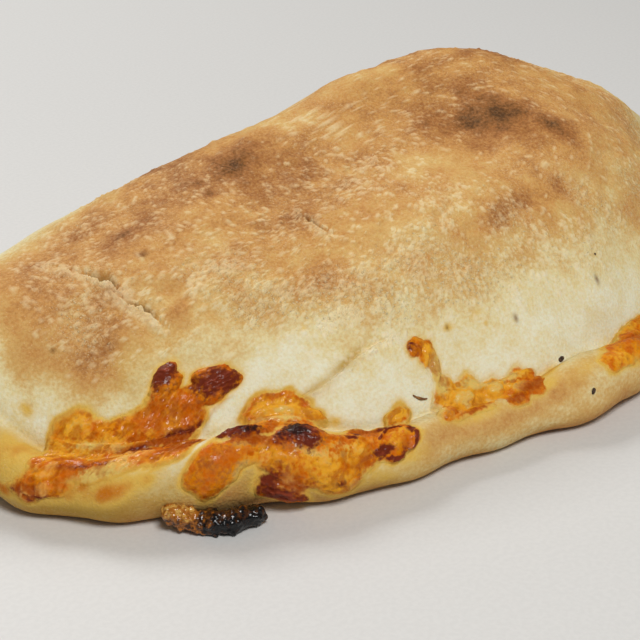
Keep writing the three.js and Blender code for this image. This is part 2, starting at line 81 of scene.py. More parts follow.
class Noise:
    """Seeded smooth noise in three dimensions."""

    TABLE = 4096
    STRIDES = (73856093, 19349663, 83492791)
    LAYERS = 3
    LAYER_SHIFT = 17.3
    LAYER_SUM = 1.5
    SPOT_SHIFT = 991
    OWNER_SHIFT = 577
    FAR = 9.0

    def __init__(self, seed: int) -> None:
        """Draws the noise's table.

        Args:
            seed: The seed of the draw.
        """
        self.values = np.random.default_rng(seed).random(self.TABLE)

    def corner(self, cell: Array) -> Array:
        """The fixed value, 0 to 1, of each lattice corner."""
        mixed = [cell[..., axis] * self.STRIDES[axis] for axis in range(cell.shape[-1])]
        return self.values[np.bitwise_xor.reduce(mixed) % self.TABLE]

    def smooth(self, points: Array, size: float) -> Array:
        """Smooth noise from -1 to 1.

        Args:
            points: Places, with two or three coordinates each.
            size: The distance between lattice corners.

        Returns:
            The noise at each place.
        """
        q = points / size
        cell = np.floor(q).astype(np.int64)
        w = q - cell
        w = w * w * (3 - 2 * w)
        axes = points.shape[-1]
        total = np.zeros(points.shape[:-1])
        for code in range(2**axes):
            step = np.array([(code >> axis) & 1 for axis in range(axes)])
            weight = np.prod(np.where(step == 1, w, 1 - w), axis=-1)
            total += weight * self.corner(cell + step)
        return 2 * total - 1

    def layered(self, points: Array, size: float) -> Array:
        """Noise with finer, fainter layers on top, roughly from -1 to 1.

        Args:
            points: Places, with two or three coordinates each.
            size: The distance between lattice corners of the broadest layer.

        Returns:
            The noise at each place.
        """
        total = np.zeros(points.shape[:-1])
        for layer in range(self.LAYERS):
            total += self.smooth(points + self.LAYER_SHIFT * layer, size / 2**layer) / 2**layer
        return total / self.LAYER_SUM

    def cells(self, points: Array, size: float) -> tuple[Array, Array]:
        """Scattered middles, one in each square of a plane lattice.

        Args:
            points: Places in the plane.
            size: The side of a square.

        Returns:
            The distance to the nearest middle, in squares, and that middle's own value from 0 to 1.
        """
        q = points / size
        cell = np.floor(q).astype(np.int64)
        nearest = np.full(points.shape[:-1], self.FAR)
        owner = np.zeros(points.shape[:-1])
        for i in (-1, 0, 1):
            for j in (-1, 0, 1):
                near = cell + np.array([i, j])
                spot = near + np.stack([self.corner(near), self.corner(near + self.SPOT_SHIFT)], -1)
                away = np.linalg.norm(q - spot, axis=-1)
                closer = away < nearest
                nearest = np.where(closer, away, nearest)
                owner = np.where(closer, self.corner(near + self.OWNER_SHIFT), owner)
        return nearest, owner


GRAIN = Noise(SEED)  # the crust's own noise


def ridges(noise: Array, width: float) -> Array:
    """Ridges of height 1 along the lines where a noise passes through 0."""
    return np.clip(1 - np.abs(noise) / width, 0, 1)


@frozen
class Cloud:
    """A layer of noise: where its lattice starts, how broad its features are and how much it adds."""

    start: float
    size: float
    share: float = 1.0

    def at(self, points: Array, noise: Noise = GRAIN) -> Array:
        """What the cloud adds at each place, from the crust's noise unless another is given."""
        return self.share * noise.layered(points + self.start, self.size)


@frozen
class Step:
    """A soft step: where it starts, where it is full and how much it adds there."""

    start: float
    full: float
    share: float = 1.0

    def at(self, value: Array) -> Array:
        """What the step adds at each value."""
        return self.share * ease(self.start, self.full, value)


@frozen
class Mark:
    """A soft oval mark, in plan or in seam coordinates: how far it adds to or takes from a value."""

    x: float
    y: float
    long: float
    wide: float
    share: float = 1.0
    turn: float = 0.0

    def strength(self, x: Array, y: Array) -> Array:
        """The mark's strength, which fades out over its two half-lengths.

        Args:
            x, y: Places, in the mark's own coordinates.

        Returns:
            The strength at each place.
        """
        x, y = x - self.x, y - self.y
        a = (x * math.cos(self.turn) + y * math.sin(self.turn)) / self.long
        b = (y * math.cos(self.turn) - x * math.sin(self.turn)) / self.wide
        return self.share * np.exp(-(a * a) - b * b)


Marks = tuple[Mark, ...]


def rows(kind: type, *values: tuple[float, ...]) -> tuple:
    """Things of one kind, each from a row of its values in the order of the fields."""
    return tuple(kind(*row) for row in values)


def marks(*values: tuple[float, ...]) -> Marks:
    """Marks, each from a row of its values in the order of the fields."""
    return rows(Mark, *values)


def strongest(chosen: Marks, x: Array, y: Array) -> Array:
    """How strongly each place is marked, by the strongest of several marks."""
    return np.maximum.reduce([np.zeros(np.shape(x))] + [mark.strength(x, y) for mark in chosen])


@frozen
class Bulge:
    """A place along the rim where it swells and stands out."""

    x: float
    swell: float
    push: float


@frozen
class Flap:
    """A round flap of dough on the wall above the crease, in seam coordinates."""

    u: float
    v: float
    radius: float
    height: float
    edge: float


@frozen
class Site:
    """Places on the smooth crust: seam coordinates, points and how much of the sealed rim each has."""

    u: Array
    v: Array
    point: Array
    sealed: Array

    @property
    def axes(self) -> list[Array]:
        """The points' three coordinates."""
        return list(np.moveaxis(self.point, -1, 0))


@frozen
class Form:
    """The crust's smooth form and low relief, the same as the solid's."""

    half_length: float = 158.0
    seam_reach: float = 92.0
    fold_reach: float = 72.0
    seam_roundness: float = 1.9
    fold_roundness: float = 2.6
    left_height: float = 52.5
    right_height: float = 68.5
    height_blend: float = 110.0
    hills: Marks = marks(
        (-73, 23, 36, 36, 6), (-31, 29, 36, 36, 10), (20, 49, 36, 36, 19), (70, 31, 36, 36, 13),
        (127, 23, 36, 36, -3),
    )
    rim_diameter: float = 14.4
    rim_wrap: float = math.radians(225)
    fold_radius: float = 24.0
    fold_wrap: float = math.radians(140)
    seam_starts: float = 0.25
    seam_full: float = -0.35
    rim_share: float = 0.35
    rim_middle: float = 0.14
    wall_easing: float = 1.3
    seam_wall_run: float = 26.0
    fold_wall_run: float = 16.0
    bulge_reach: float = 24.0
    push_fade: float = 32.0
    bulges: tuple[Bulge, ...] = rows(
        Bulge, (-135, 1.6, 1.3), (-105, 9, -1.9), (-75, 0.7, 0.6), (-45, 2.2, -2.7), (-15, -1.2, -4.2),
        (18, 5.4, 3.6), (58, 0, -1), (95, 3, 2), (130, 0.5, -1),
    )
    lumps: tuple[tuple[float, float, int], ...] = ((34, 1.3, 3), (19, 0.9, 11))
    lump_waves: tuple[float, float, float] = (127.1, 311.7, 74.7)
    lump_stretch: float = 43758.5453
    lump_fade: Pair = (2, 12)
    crimp_height: float = 0.7
    crimp_pitch: float = 27.0
    crimp_fade: Pair = (-3, -10)
    crease_fade: Pair = (0, 4)
    rest_fade: Pair = (0, 1.5)
    crease_fill: float = 6.0
    crease_inner: float = 3.0
    crease_outer: float = 11.0
    skin_step: float = 1.5
    flaps: tuple[Flap, ...] = (
        Flap(-59, 2, 22.5, 1.5, 1.6),
        Flap(-106, 5.5, 6, 1.8, 1.6),
        Flap(96, -2, 21, 1.4, 1.8),
    )
    pleats: Marks = marks(
        (-115, -14, 10, 4, 1.4, 0.22), (-28, -14, 9, 3, 0.8, 0.35), (71, -12, 10, 3.2, 1.3, 0.5),
        (118, -13, 9, 3, 1.2, 0.45),
    )
    normal_step: float = 0.004
    profile_steps: int = 70
    table_steps: int = 500
    tip_margin: float = 0.02

    def __post_init__(self) -> None:
        """Works out the table that turns an angle into a distance along the crease."""
        span = math.pi - 2 * self.tip_margin
        angles = math.pi + self.tip_margin + span * np.linspace(0, 1, self.table_steps)
        crease = self.smooth(angles, np.full(self.table_steps, self.rim_share))[:, :2]
        steps = np.linalg.norm(np.diff(crease, axis=0), axis=1)
        distances = np.concatenate([[0], np.cumsum(steps)])
        distances -= np.interp(1.5 * math.pi, angles, distances)
        object.__setattr__(self, "crease_angles", angles)
        object.__setattr__(self, "crease_distances", distances)

    def bulge(self, x: Array, quantity: str) -> Array:
        """What the bulges add up to at a station along the length."""
        return sum(getattr(b, quantity) * np.exp(-(((x - b.x) / self.bulge_reach) ** 2)) for b in self.bulges)

    def plan_edge(self, theta: Array) -> tuple[Array, Array]:
        """The even edge of the plan at an angle round the centre.

        Args:
            theta: Angles.

        Returns:
            The edge's two coordinates at each angle.
        """
        c, s = np.cos(theta), np.sin(theta)
        power = 2 / np.where(s < 0, self.seam_roundness, self.fold_roundness)
        reach = np.where(s < 0, self.seam_reach, self.fold_reach)
        x = self.half_length * np.sign(c) * np.abs(c) ** power
        return x, reach * np.sign(s) * np.abs(s) ** power

    def crown(self, x: Array, y: Array) -> Array:
        """The height of the crust well inside its edge, at each place in plan."""
        slope = (self.right_height - self.left_height) * ease(-self.height_blend, self.height_blend, x)
        return sum((hill.strength(x, y) for hill in self.hills), self.left_height + slope)

    def sealed(self, theta: Array) -> Array:
        """How much of the sealed rim, rather than the fold, an angle has."""
        return ease(self.seam_starts, self.seam_full, np.sin(theta))

    def smooth(self, theta: Array, s: Array) -> Array:
        """Points of the smooth crust.

        Args:
            theta: Angles.
            s: Shares of the way to the middle, of the same shape.

        Returns:
            The points, in millimetres.
        """
        ex, ey = self.plan_edge(theta)
        reach = np.hypot(ex, ey)
        sealed = self.sealed(theta)
        radius = (self.rim_diameter + self.bulge(ex, "swell")) / 2
        turned = np.clip(s / self.rim_share, 0, 1)
        rim, fold = self.rim_wrap * turned, self.fold_wrap * turned
        inset = sealed * radius * (1 - np.sin(rim)) + (1 - sealed) * self.fold_radius * (1 - np.sin(fold))
        z = sealed * radius * (1 - np.cos(rim)) + (1 - sealed) * self.fold_radius * (1 - np.cos(fold))
        inward = np.clip((s - self.rim_share) / (1 - self.rim_share), 0, 1) ** self.wall_easing
        remaining = reach - inset
        inset = inset + inward * remaining
        share = 1 - inset / reach
        crown = self.crown(ex * share, ey * share)
        run = self.fold_wall_run + (self.seam_wall_run - self.fold_wall_run) * sealed
        z = z + (crown - z) * (1 - (1 - inward) ** (remaining / run))
        push = sealed * self.bulge(ex, "push") * np.exp(-((inset / self.push_fade) ** 2))
        return np.stack([ex * share, ey * share - push, z], -1)

    def normal(self, theta: Array, s: Array) -> Array:
        """The outward normals of the smooth crust.

        Args:
            theta: Angles.
            s: Shares of the way to the middle.

        Returns:
            The normals, of length 1.
        """
        step = self.normal_step
        level = np.minimum(s, 1 - step)
        around = self.smooth(theta + step, level) - self.smooth(theta - step, level)
        high = self.smooth(theta, np.minimum(1 - step, s + step))
        across = high - self.smooth(theta, np.maximum(0, s - step))
        normal = np.cross(around, across)
        length = np.linalg.norm(normal, axis=-1, keepdims=True)
        flat = s[..., None] > 1 - 2 * step
        return np.where(flat, [0.0, 0.0, 1.0], normal / np.maximum(length, TINY))

    def along(self, theta: Array) -> Array:
        """The distance along the crease, u, at an angle."""
        return np.interp(np.mod(theta, 2 * math.pi), self.crease_angles, self.crease_distances)

    def angle(self, u: Array) -> Array:
        """The angle at a distance along the crease."""
        return np.interp(u, self.crease_distances, self.crease_angles)

    def profiles(self, theta: Array) -> tuple[Array, Array]:
        """The profile at each of several angles.

        Args:
            theta: A row of angles.

        Returns:
            The shares, and for each angle the lengths from the crease at those shares.
        """
        shares = np.arange(self.profile_steps + 1) / self.profile_steps
        grid = np.broadcast_to(shares, (len(theta), len(shares)))
        points = self.smooth(np.repeat(theta[:, None], len(shares), 1), grid)
        steps = np.linalg.norm(np.diff(points, axis=1), axis=-1)
        lengths = np.concatenate([np.zeros((len(theta), 1)), np.cumsum(steps, axis=1)], axis=1)
        crease = np.array([np.interp(self.rim_share, shares, row) for row in lengths])
        return shares, lengths - crease[:, None]

    def lumpy(self, x: Array, y: Array, seed: int) -> Array:
        """The solid's own smooth lumps.

        Args:
            x: Distances along the length, in lumps.
            y: Distances across it, in lumps.
            seed: Which set of lumps it is.

        Returns:
            The lumps' height at each place, from -1 to 1.
        """
        first, second, third = self.lump_waves

        def corner(i: Array, j: Array) -> Array:
            """The fixed value of each corner."""
            wave = np.sin(i * first + j * second + seed * third) * self.lump_stretch
            return wave - np.floor(wave)

        i, j = np.floor(x), np.floor(y)
        a, b = ease(0, 1, x - i), ease(0, 1, y - j)
        near = corner(i, j) * (1 - a) + corner(i + 1, j) * a
        far = corner(i, j + 1) * (1 - a) + corner(i + 1, j + 1) * a
        return 2 * (near * (1 - b) + far * b) - 1

    def site(self, u: Array, v: Array, theta: Array, s: Array) -> Site:
        """The places with both their seam coordinates and their angles and shares."""
        return Site(u, v, self.smooth(theta, s), self.sealed(theta))

    def relief(self, site: Site) -> Array:
        """How far the dough stands out from the smooth crust.

        Args:
            site: The places.

        Returns:
            The height over the smooth crust.
        """
        u, v, (x, y, z) = site.u, site.v, site.axes
        height = sum(rise * self.lumpy(x / size, y / size, seed) for size, rise, seed in self.lumps)
        height = height * ease(*self.lump_fade, z)
        wave = np.sin(2 * math.pi * u / self.crimp_pitch)
        crimp = site.sealed * self.crimp_height * wave * ease(*self.crimp_fade, v)
        height = height + np.where(v < 0, crimp, 0)
        for flap in self.flaps:
            away = np.hypot(u - flap.u, v - flap.v)
            rise = flap.height * ease(flap.radius + flap.edge, flap.radius - flap.edge, away)
            height = height + np.where(v > 0, rise, 0)
        for pleat in self.pleats:
            height = height + np.where(v < 0, pleat.strength(u, v), 0)
        return height * ease(*self.crease_fade, np.abs(v)) * ease(*self.rest_fade, z)

    def seat(self, u: Array, v: Array) -> tuple[Array, Array]:
        """Finds places given in seam coordinates.

        Args:
            u, v: A row of distances along the crease, and for each a row across it.

        Returns:
            The angles and the shares, one row for each u.
        """
        theta = self.angle(u)
        shares, lengths = self.profiles(theta)
        s = np.stack([np.interp(v[i], lengths[i], shares) for i in range(len(u))])
        return np.repeat(theta[:, None], v.shape[1], 1), s

    def seam(self, u: Array, v: Array) -> Array:
        """Points of the dough in seam coordinates.

        Args:
            u, v: A row of distances along the crease, and for each a row across it.

        Returns:
            The points, one row for each u.
        """
        angles, s = self.seat(u, v)
        site = self.site(np.repeat(u[:, None], v.shape[1], 1), v, angles, s)
        return site.point + self.normal(angles, s) * self.relief(site)[..., None]

    def skin(self, u: Array, v: Array) -> tuple[Array, Array]:
        """Where cheese lies: the dough's surface, bridged over the crease.

        Args:
            u, v: A row of distances along the crease, and for each a row across it.

        Returns:
            The points and their normals.
        """
        step = self.skin_step
        fill = self.crease_fill * ease(self.crease_outer, self.crease_inner, np.abs(v))
        point = (self.seam(u, v) + self.seam(u, v - fill) + self.seam(u, v + fill)) / 3
        across = self.seam(u, v + fill + step) - self.seam(u, v - fill - step)
        along = self.seam(u + step, v) - self.seam(u - step, v)
        normal = np.cross(along, across)
        return point, normal / np.maximum(np.linalg.norm(normal, axis=-1, keepdims=True), TINY)


FORM = Form()


class Placement:
    """Moves the crust's own frame into the shared one."""

    COLUMNS = 721
    ROWS = 41
    WIDEST_SHARE = 0.6

    def __init__(self) -> None:
        """Finds the shift from the dough's box and the smooth crust's extent."""
        low, high = (np.array(corner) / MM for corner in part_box("dough"))
        theta = np.repeat(np.linspace(0, 2 * math.pi, self.COLUMNS)[:, None], self.ROWS, 1)
        shares = np.linspace(0, self.WIDEST_SHARE, self.ROWS)
        points = FORM.smooth(theta, np.broadcast_to(shares, theta.shape))
        x = (low[0] + high[0] - points[..., 0].min() - points[..., 0].max()) / 2
        y = high[1] - points[..., 1].max()
        self.shift = np.array([x, y, low[2]])

    def metres(self, points: Array) -> Array:
        """Points of the shared frame, in metres."""
        return (points + self.shift) * MM


PLACE = Placement()


class Tree:
    """Adds nodes to a shader tree."""

    def __init__(self, tree: NodeTree) -> None:
        """Keeps the tree and clears it.

        Args:
            tree: The material's or the group's own tree.
        """
        self.tree = tree
        tree.nodes.clear()
        self.count = 0

    def add(self, kind: str, inputs: dict | None = None, **settings: object) -> Node:
        """Adds a node.

        Args:
            kind: The node's type, without its prefix.
            inputs: Values or sockets, by the name or number of the input.
            settings: The node's own settings.

        Returns:
            The node.
        """
        prefix = "" if kind.startswith("NodeGroup") else "ShaderNode"
        node = self.tree.nodes.new(prefix + kind)
        node.location = (180 * self.count, 0)
        self.count += 1
        for name, value in settings.items():
            setattr(node, name, value)
        for name, value in (inputs or {}).items():
            self.put(value, node.inputs[name])
        return node

    def put(self, value: object, socket: NodeSocket) -> None:
        """Links an output to an input, or sets the input to a plain value.

        Args:
            value: The output or the value.
            socket: The input.
        """
        if isinstance(value, NodeSocket):
            self.tree.links.new(value, socket)
        else:
            socket.default_value = value

    def math(self, operation: str, a: object, b: object = 0.0, clamp: bool = False) -> NodeSocket:
        """The result of a sum on two values."""
        return self.add("Math", {0: a, 1: b}, operation=operation, use_clamp=clamp).outputs[0]

    def plus(self, a: object, b: object) -> NodeSocket:
        """Two values added."""
        return self.math("ADD", a, b)

    def times(self, a: object, b: object, clamp: bool = False) -> NodeSocket:
        """Two values multiplied."""
        return self.math("MULTIPLY", a, b, clamp)

    def spread(self, value: object, low: float, high: float, to_low: float = 0, to_high: float = 1) -> object:
        """Maps a range of a value smoothly onto another range."""
        inputs = {"Value": value, "From Min": low, "From Max": high, "To Min": to_low, "To Max": to_high}
        return self.add("MapRange", inputs, interpolation_type="SMOOTHSTEP").outputs[0]

    def mix(self, share: object, first: object, second: object) -> object:
        """A colour mixed from two."""
        return self.add("Mix", {0: share, 6: first, 7: second}, data_type="RGBA").outputs[2]

    def centred(self, noise: Node) -> object:
        """How far a noise is from its middle value."""
        return self.math("ABSOLUTE", self.math("SUBTRACT", noise.outputs[0], 0.5))

    def ramp(self, value: object, stops: tuple[tuple[float, tuple], ...]) -> object:
        """A colour read from a ramp.

        Args:
            value: The value that the ramp is read at.
            stops: The ramp's places and colours, in order.

        Returns:
            The colour.
        """
        node = self.add("ValToRGB", {"Fac": value})
        elements = node.color_ramp.elements
        while len(elements) < len(stops):
            elements.new(0.5)
        for element, (position, color) in zip(elements, stops):
            element.position = position
            element.color = color
        return node.outputs["Color"]

    def noise(self, vector: object, size: float, detail: float) -> object:
        """Noise with features of a size in millimetres, from 0 to 1."""
        return self.add("TexNoise", {"Vector": vector, "Scale": 1 / (size * MM), "Detail": detail}).outputs[0]

    def attribute(self, name: str) -> object:
        """A value kept at each vertex."""
        return self.add("Attribute", attribute_name=name).outputs["Fac"]


def shader_group(name: str, inputs: dict[str, float | None], outputs: tuple[str, ...]) -> tuple:
    """Starts a node group.

    Args:
        name: The group's name.
        inputs: For each input its default, or None for a vector.
        outputs: The outputs, of which "Color" is a colour and the others are values.

    Returns:
        The group, its tree helper, and its input and output nodes.
    """
    group = bpy.data.node_groups.new(name, "ShaderNodeTree")
    for label, default in inputs.items():
        kind = "NodeSocketVector" if default is None else "NodeSocketFloat"
        socket = group.interface.new_socket(label, in_out="INPUT", socket_type=kind)
        if default is not None:
            socket.default_value = default
    for label in outputs:
        kind = "NodeSocketColor" if label == "Color" else "NodeSocketFloat"
        group.interface.new_socket(label, in_out="OUTPUT", socket_type=kind)
    tree = Tree(group)
    return group, tree, tree.add("NodeGroupInput"), tree.add("NodeGroupOutput")


def flecks_group() -> NodeTree:
    """Small raised blisters of uneven size, torn at their edges.

    Returns:
        The group.
    """
    inputs = {"Vector": None, "Scale": 400.0, "Density": 0.5}
    group, tree, given, result = shader_group("flecks", inputs, ("Mask", "Height"))
    tear, fold_scale, fold_width = 1.1, 0.62, 0.07
    fold_mask, fold_height = 0.45, 0.4
    vector, scale, density = (given.outputs[label] for label in ("Vector", "Scale", "Density"))
    torn = tree.add("TexNoise", {"Vector": vector, "Scale": scale, "Detail": 3})
    shift = tree.add("VectorMath", {0: torn.outputs["Color"], 1: (0.5, 0.5, 0.5)}, operation="SUBTRACT")
    reach = tree.math("DIVIDE", tear, scale)
    warped = tree.add("VectorMath", {0: shift.outputs[0], "Scale": reach}, operation="SCALE")
    place = tree.add("VectorMath", {0: vector, 1: warped.outputs[0]}, operation="ADD")
    cell = tree.add("TexVoronoi", {"Vector": place.outputs[0], "Scale": scale})
    own = tree.add("SeparateColor", {0: cell.outputs["Color"]}).outputs[0]
    inside = tree.math("SUBTRACT", tree.times(own, density), cell.outputs["Distance"])
    folds = {"Vector": vector, "Detail": 2, "Scale": tree.times(scale, fold_scale)}
    fold = tree.centred(tree.add("TexNoise", folds))
    curled = tree.times(tree.spread(fold, fold_width, 0), tree.spread(density, 0.15, 0.5))
    mask = tree.math("MAXIMUM", tree.spread(inside, 0, 0.1), tree.times(curled, fold_mask))
    raised = tree.spread(inside, -0.04, 0.24)
    height = tree.math("MAXIMUM", raised, tree.times(curled, fold_height))
    tree.put(mask, result.inputs["Mask"])
    tree.put(height, result.inputs["Height"])
    return group


def mottle_group() -> NodeTree:
    """Uneven browning: broad clouds with fine grains in them, both from -1 to 1.

    Returns:
        The group.
    """
    inputs = {"Vector": None, "Broad scale": 90.0, "Fine scale": 500.0}
    group, tree, given, result = shader_group("mottle", inputs, ("Broad", "Fine"))
    for label, detail in (("Broad", 4.0), ("Fine", 3.0)):
        scale = given.outputs[f"{label} scale"]
        inputs = {"Vector": given.outputs["Vector"], "Scale": scale, "Detail": detail}
        cloud = tree.add("TexNoise", inputs).outputs[0]
        tree.put(tree.spread(cloud, 0.25, 0.75, -1, 1), result.inputs[label])
    return group


def crackle_group() -> NodeTree:
    """The skin of baked cheese: fine bubbles and wrinkles.

    Returns:
        The group.
    """
    inputs = {"Vector": None, "Scale": 700.0, "Wrinkles": 0.5}
    group, tree, given, result = shader_group("crackle", inputs, ("Height", "Rims"))
    fold_scale, fold_width = 0.7, 0.12
    crumple_scale, crumple_width, crumple_height = 0.32, 0.14, 0.8
    vector, scale = given.outputs["Vector"], given.outputs["Scale"]
    bubbles = tree.add("TexVoronoi", {"Vector": vector, "Scale": scale}, feature="SMOOTH_F1")
    domes = tree.spread(bubbles.outputs["Distance"], 0.1, 0.75, 1, 0)
    fine = tree.times(scale, fold_scale)
    folds = tree.add("TexNoise", {"Vector": vector, "Scale": fine, "Detail": 4})
    ridged = tree.spread(tree.centred(folds), 0, fold_width, 1, 0)
    broad = tree.times(scale, crumple_scale)
    crumples = tree.add("TexNoise", {"Vector": vector, "Scale": broad, "Detail": 3})
    crumple = tree.spread(tree.centred(crumples), 0, crumple_width, 1, 0)
    height = tree.plus(domes, tree.times(ridged, given.outputs["Wrinkles"]))
    height = tree.plus(height, tree.times(crumple, crumple_height))
    tree.put(height, result.inputs["Height"])
    tree.put(ridged, result.inputs["Rims"])
    return group


TOAST_STOPS = (
    (0.0, linear(240, 234, 204)),
    (0.2, linear(232, 213, 158)),
    (0.4, linear(216, 174, 104)),
    (0.58, linear(203, 147, 80)),
    (0.78, linear(166, 108, 56)),
    (1.0, linear(90, 58, 28)),
)
# Olive yellow of oil, also used as painted olive shade.
OIL_AND_SHADE = linear(188, 150, 60)
STAIN_FAINT = linear(226, 184, 84)
STAIN = linear(204, 118, 18)


def dough_group() -> NodeTree:
    """The colour of baked dough: cream to brown as it toasts, olive yellow where oiled and where olive shade
    is painted, orange where stained.

    Returns:
        The group.
    """
    group, tree, given, result = shader_group("dough", {"Toast": 0.3, "Oiled": 0.0, "Stain": 0.0}, ("Color",))
    color = tree.ramp(given.outputs["Toast"], TOAST_STOPS)
    color = tree.mix(given.outputs["Oiled"], color, OIL_AND_SHADE)
    color = tree.mix(tree.spread(given.outputs["Stain"], 0, 0.5), color, STAIN_FAINT)
    color = tree.mix(tree.spread(given.outputs["Stain"], 0.35, 1), color, STAIN)
    tree.put(color, result.inputs["Color"])
    return group


class Effects:
    """The shader groups that several finishes share, each built once."""

    def __init__(self) -> None:
        """Builds the groups."""
        self.dough = dough_group()
        self.flecks = flecks_group()
        self.mottle = mottle_group()
        self.crackle = crackle_group()


class Finish:
    """The base of every finish: a material with a Principled shader."""

    name = "finish"

    def __init__(self, effects: Effects) -> None:
        """Builds the material.

        Args:
            effects: The shared shader groups.
        """
        self.effects = effects
        self.material = bpy.data.materials.new(self.name)
        self.material.use_nodes = True
        self.tree = Tree(self.material.node_tree)
        self.place = self.tree.add("TexCoord").outputs["Object"]
        self.shader = self.tree.add("BsdfPrincipled")
        output = self.tree.add("OutputMaterial", {"Surface": self.shader.outputs[0]})
        output.is_active_output = True
        self.dress()

    def dress(self) -> None:
        """Adds the finish's own nodes."""

    def fed(self, group: NodeTree, inputs: dict) -> Node:
        """Places a shared group, fed with the place on the piece.

        Args:
            group: The group.
            inputs: Values or sockets for its other inputs.

        Returns:
            The group's node.
        """
        node = self.tree.add("Group", node_tree=group)
        for label, value in {"Vector": self.place, **inputs}.items():
            self.tree.put(value, node.inputs[label])
        return node

    def feed(self, **sockets: object) -> None:
        """Sets or links the shader's inputs by name, with underscores for spaces."""
        for label, value in sockets.items():
            self.tree.put(value, self.shader.inputs[label.replace("_", " ")])

    def bump(self, height: object, depth: float) -> object:
        """A bump of a height in millimetres."""
        return self.tree.add("Bump", {"Height": height, "Distance": depth * MM, "Strength": 1.0}).outputs[0]


class CrustFinish(Finish):
    """Baked dough: cream on the wall, tan to brown on top, with pale blisters and oily stains. Painted shade
    lies inside its tears and fold line and in some olive oil tone, and painted highlights on the tears' lips
    and in fine pale grains.
    """

    name = "baked_crust"
    # Painted shade inside the tears and along the fold line.
    crack_shade_color = linear(124, 92, 44)
    char_color = linear(120, 78, 34)
    floury = linear(240, 218, 174)
    mottling = {"Broad scale": 150.0, "Fine scale": 950.0}
    mottled = 0.07
    fleck_scale = 860.0
    fleck_density = 0.62
    fleck_share = 0.9
    grain_scale = 1500.0
    grain_share = 0.28
    floury_share = 0.52
    gap_toast = 0.06
    raised_toast = 0.08
    toasting = (0.12, 0.35)
    scorching = (0.62, 0.88)
    pore_size = 0.9
    depth = 0.34

    def dress(self) -> None:
        """Mixes the toasting, the flecks, the stains and the painted shade inside the split."""
        tree = self.tree
        mottle = self.fed(self.effects.mottle, self.mottling)
        toast = tree.attribute("toast")
        toast = tree.plus(toast, tree.times(mottle.outputs["Broad"], self.mottled))
        toast = tree.plus(toast, tree.times(mottle.outputs["Fine"], self.mottled))
        blistered = tree.attribute("blistered")
        density = tree.times(blistered, self.fleck_density)
        small = self.fed(self.effects.flecks, {"Scale": self.fleck_scale, "Density": density})
        raised = tree.times(small.outputs["Mask"], self.fleck_share)
        raised = tree.math("MAXIMUM", raised, tree.attribute("blister"))
        raised = tree.times(raised, tree.spread(toast, *self.scorching, 1, 0.1))
        density = tree.spread(blistered, 0, 0.5, 0.3, 0.5)
        grains = self.fed(self.effects.flecks, {"Scale": self.grain_scale, "Density": density})
        gaps = tree.times(blistered, tree.spread(raised, 0, 0.5, self.gap_toast, 0))
        paler = tree.times(raised, self.raised_toast)
        toast = tree.math("SUBTRACT", tree.plus(toast, gaps), paler)
        tones = {"Toast": toast, "Oiled": tree.attribute("oiled"), "Stain": tree.attribute("stain")}
        color = tree.add("Group", tones, node_tree=self.effects.dough).outputs[0]
        color = tree.mix(tree.times(raised, self.floury_share, True), color, self.floury)
        # Fine pale grains of flour, which also stand in for tiny glints: partly painted highlight.
        share = tree.spread(toast, *self.toasting, 0, self.grain_share)
        grains_and_glints = tree.times(grains.outputs["Mask"], share)
        grains_and_glints = tree.times(grains_and_glints, tree.spread(toast, *self.scorching, 1, 0.3))
        color = tree.mix(grains_and_glints, color, self.floury)
        # Painted shade inside the tears and along the flap's fold line.
        color = tree.mix(tree.attribute("crack"), color, self.crack_shade_color)
        color = tree.mix(tree.attribute("char"), color, self.char_color)
        pores = tree.noise(self.place, self.pore_size, 4)
        height = tree.plus(tree.times(small.outputs["Height"], self.fleck_share), pores)
        rough = tree.spread(mottle.outputs["Fine"], -1, 1, 0.6, 0.8)
        self.feed(Base_Color=color, Roughness=rough, Normal=self.bump(height, self.depth))
        self.feed(Subsurface_Weight=0.1, Subsurface_Scale=0.002, Specular_IOR_Level=0.14)
        self.feed(Subsurface_Radius=(1.0, 0.6, 0.3))


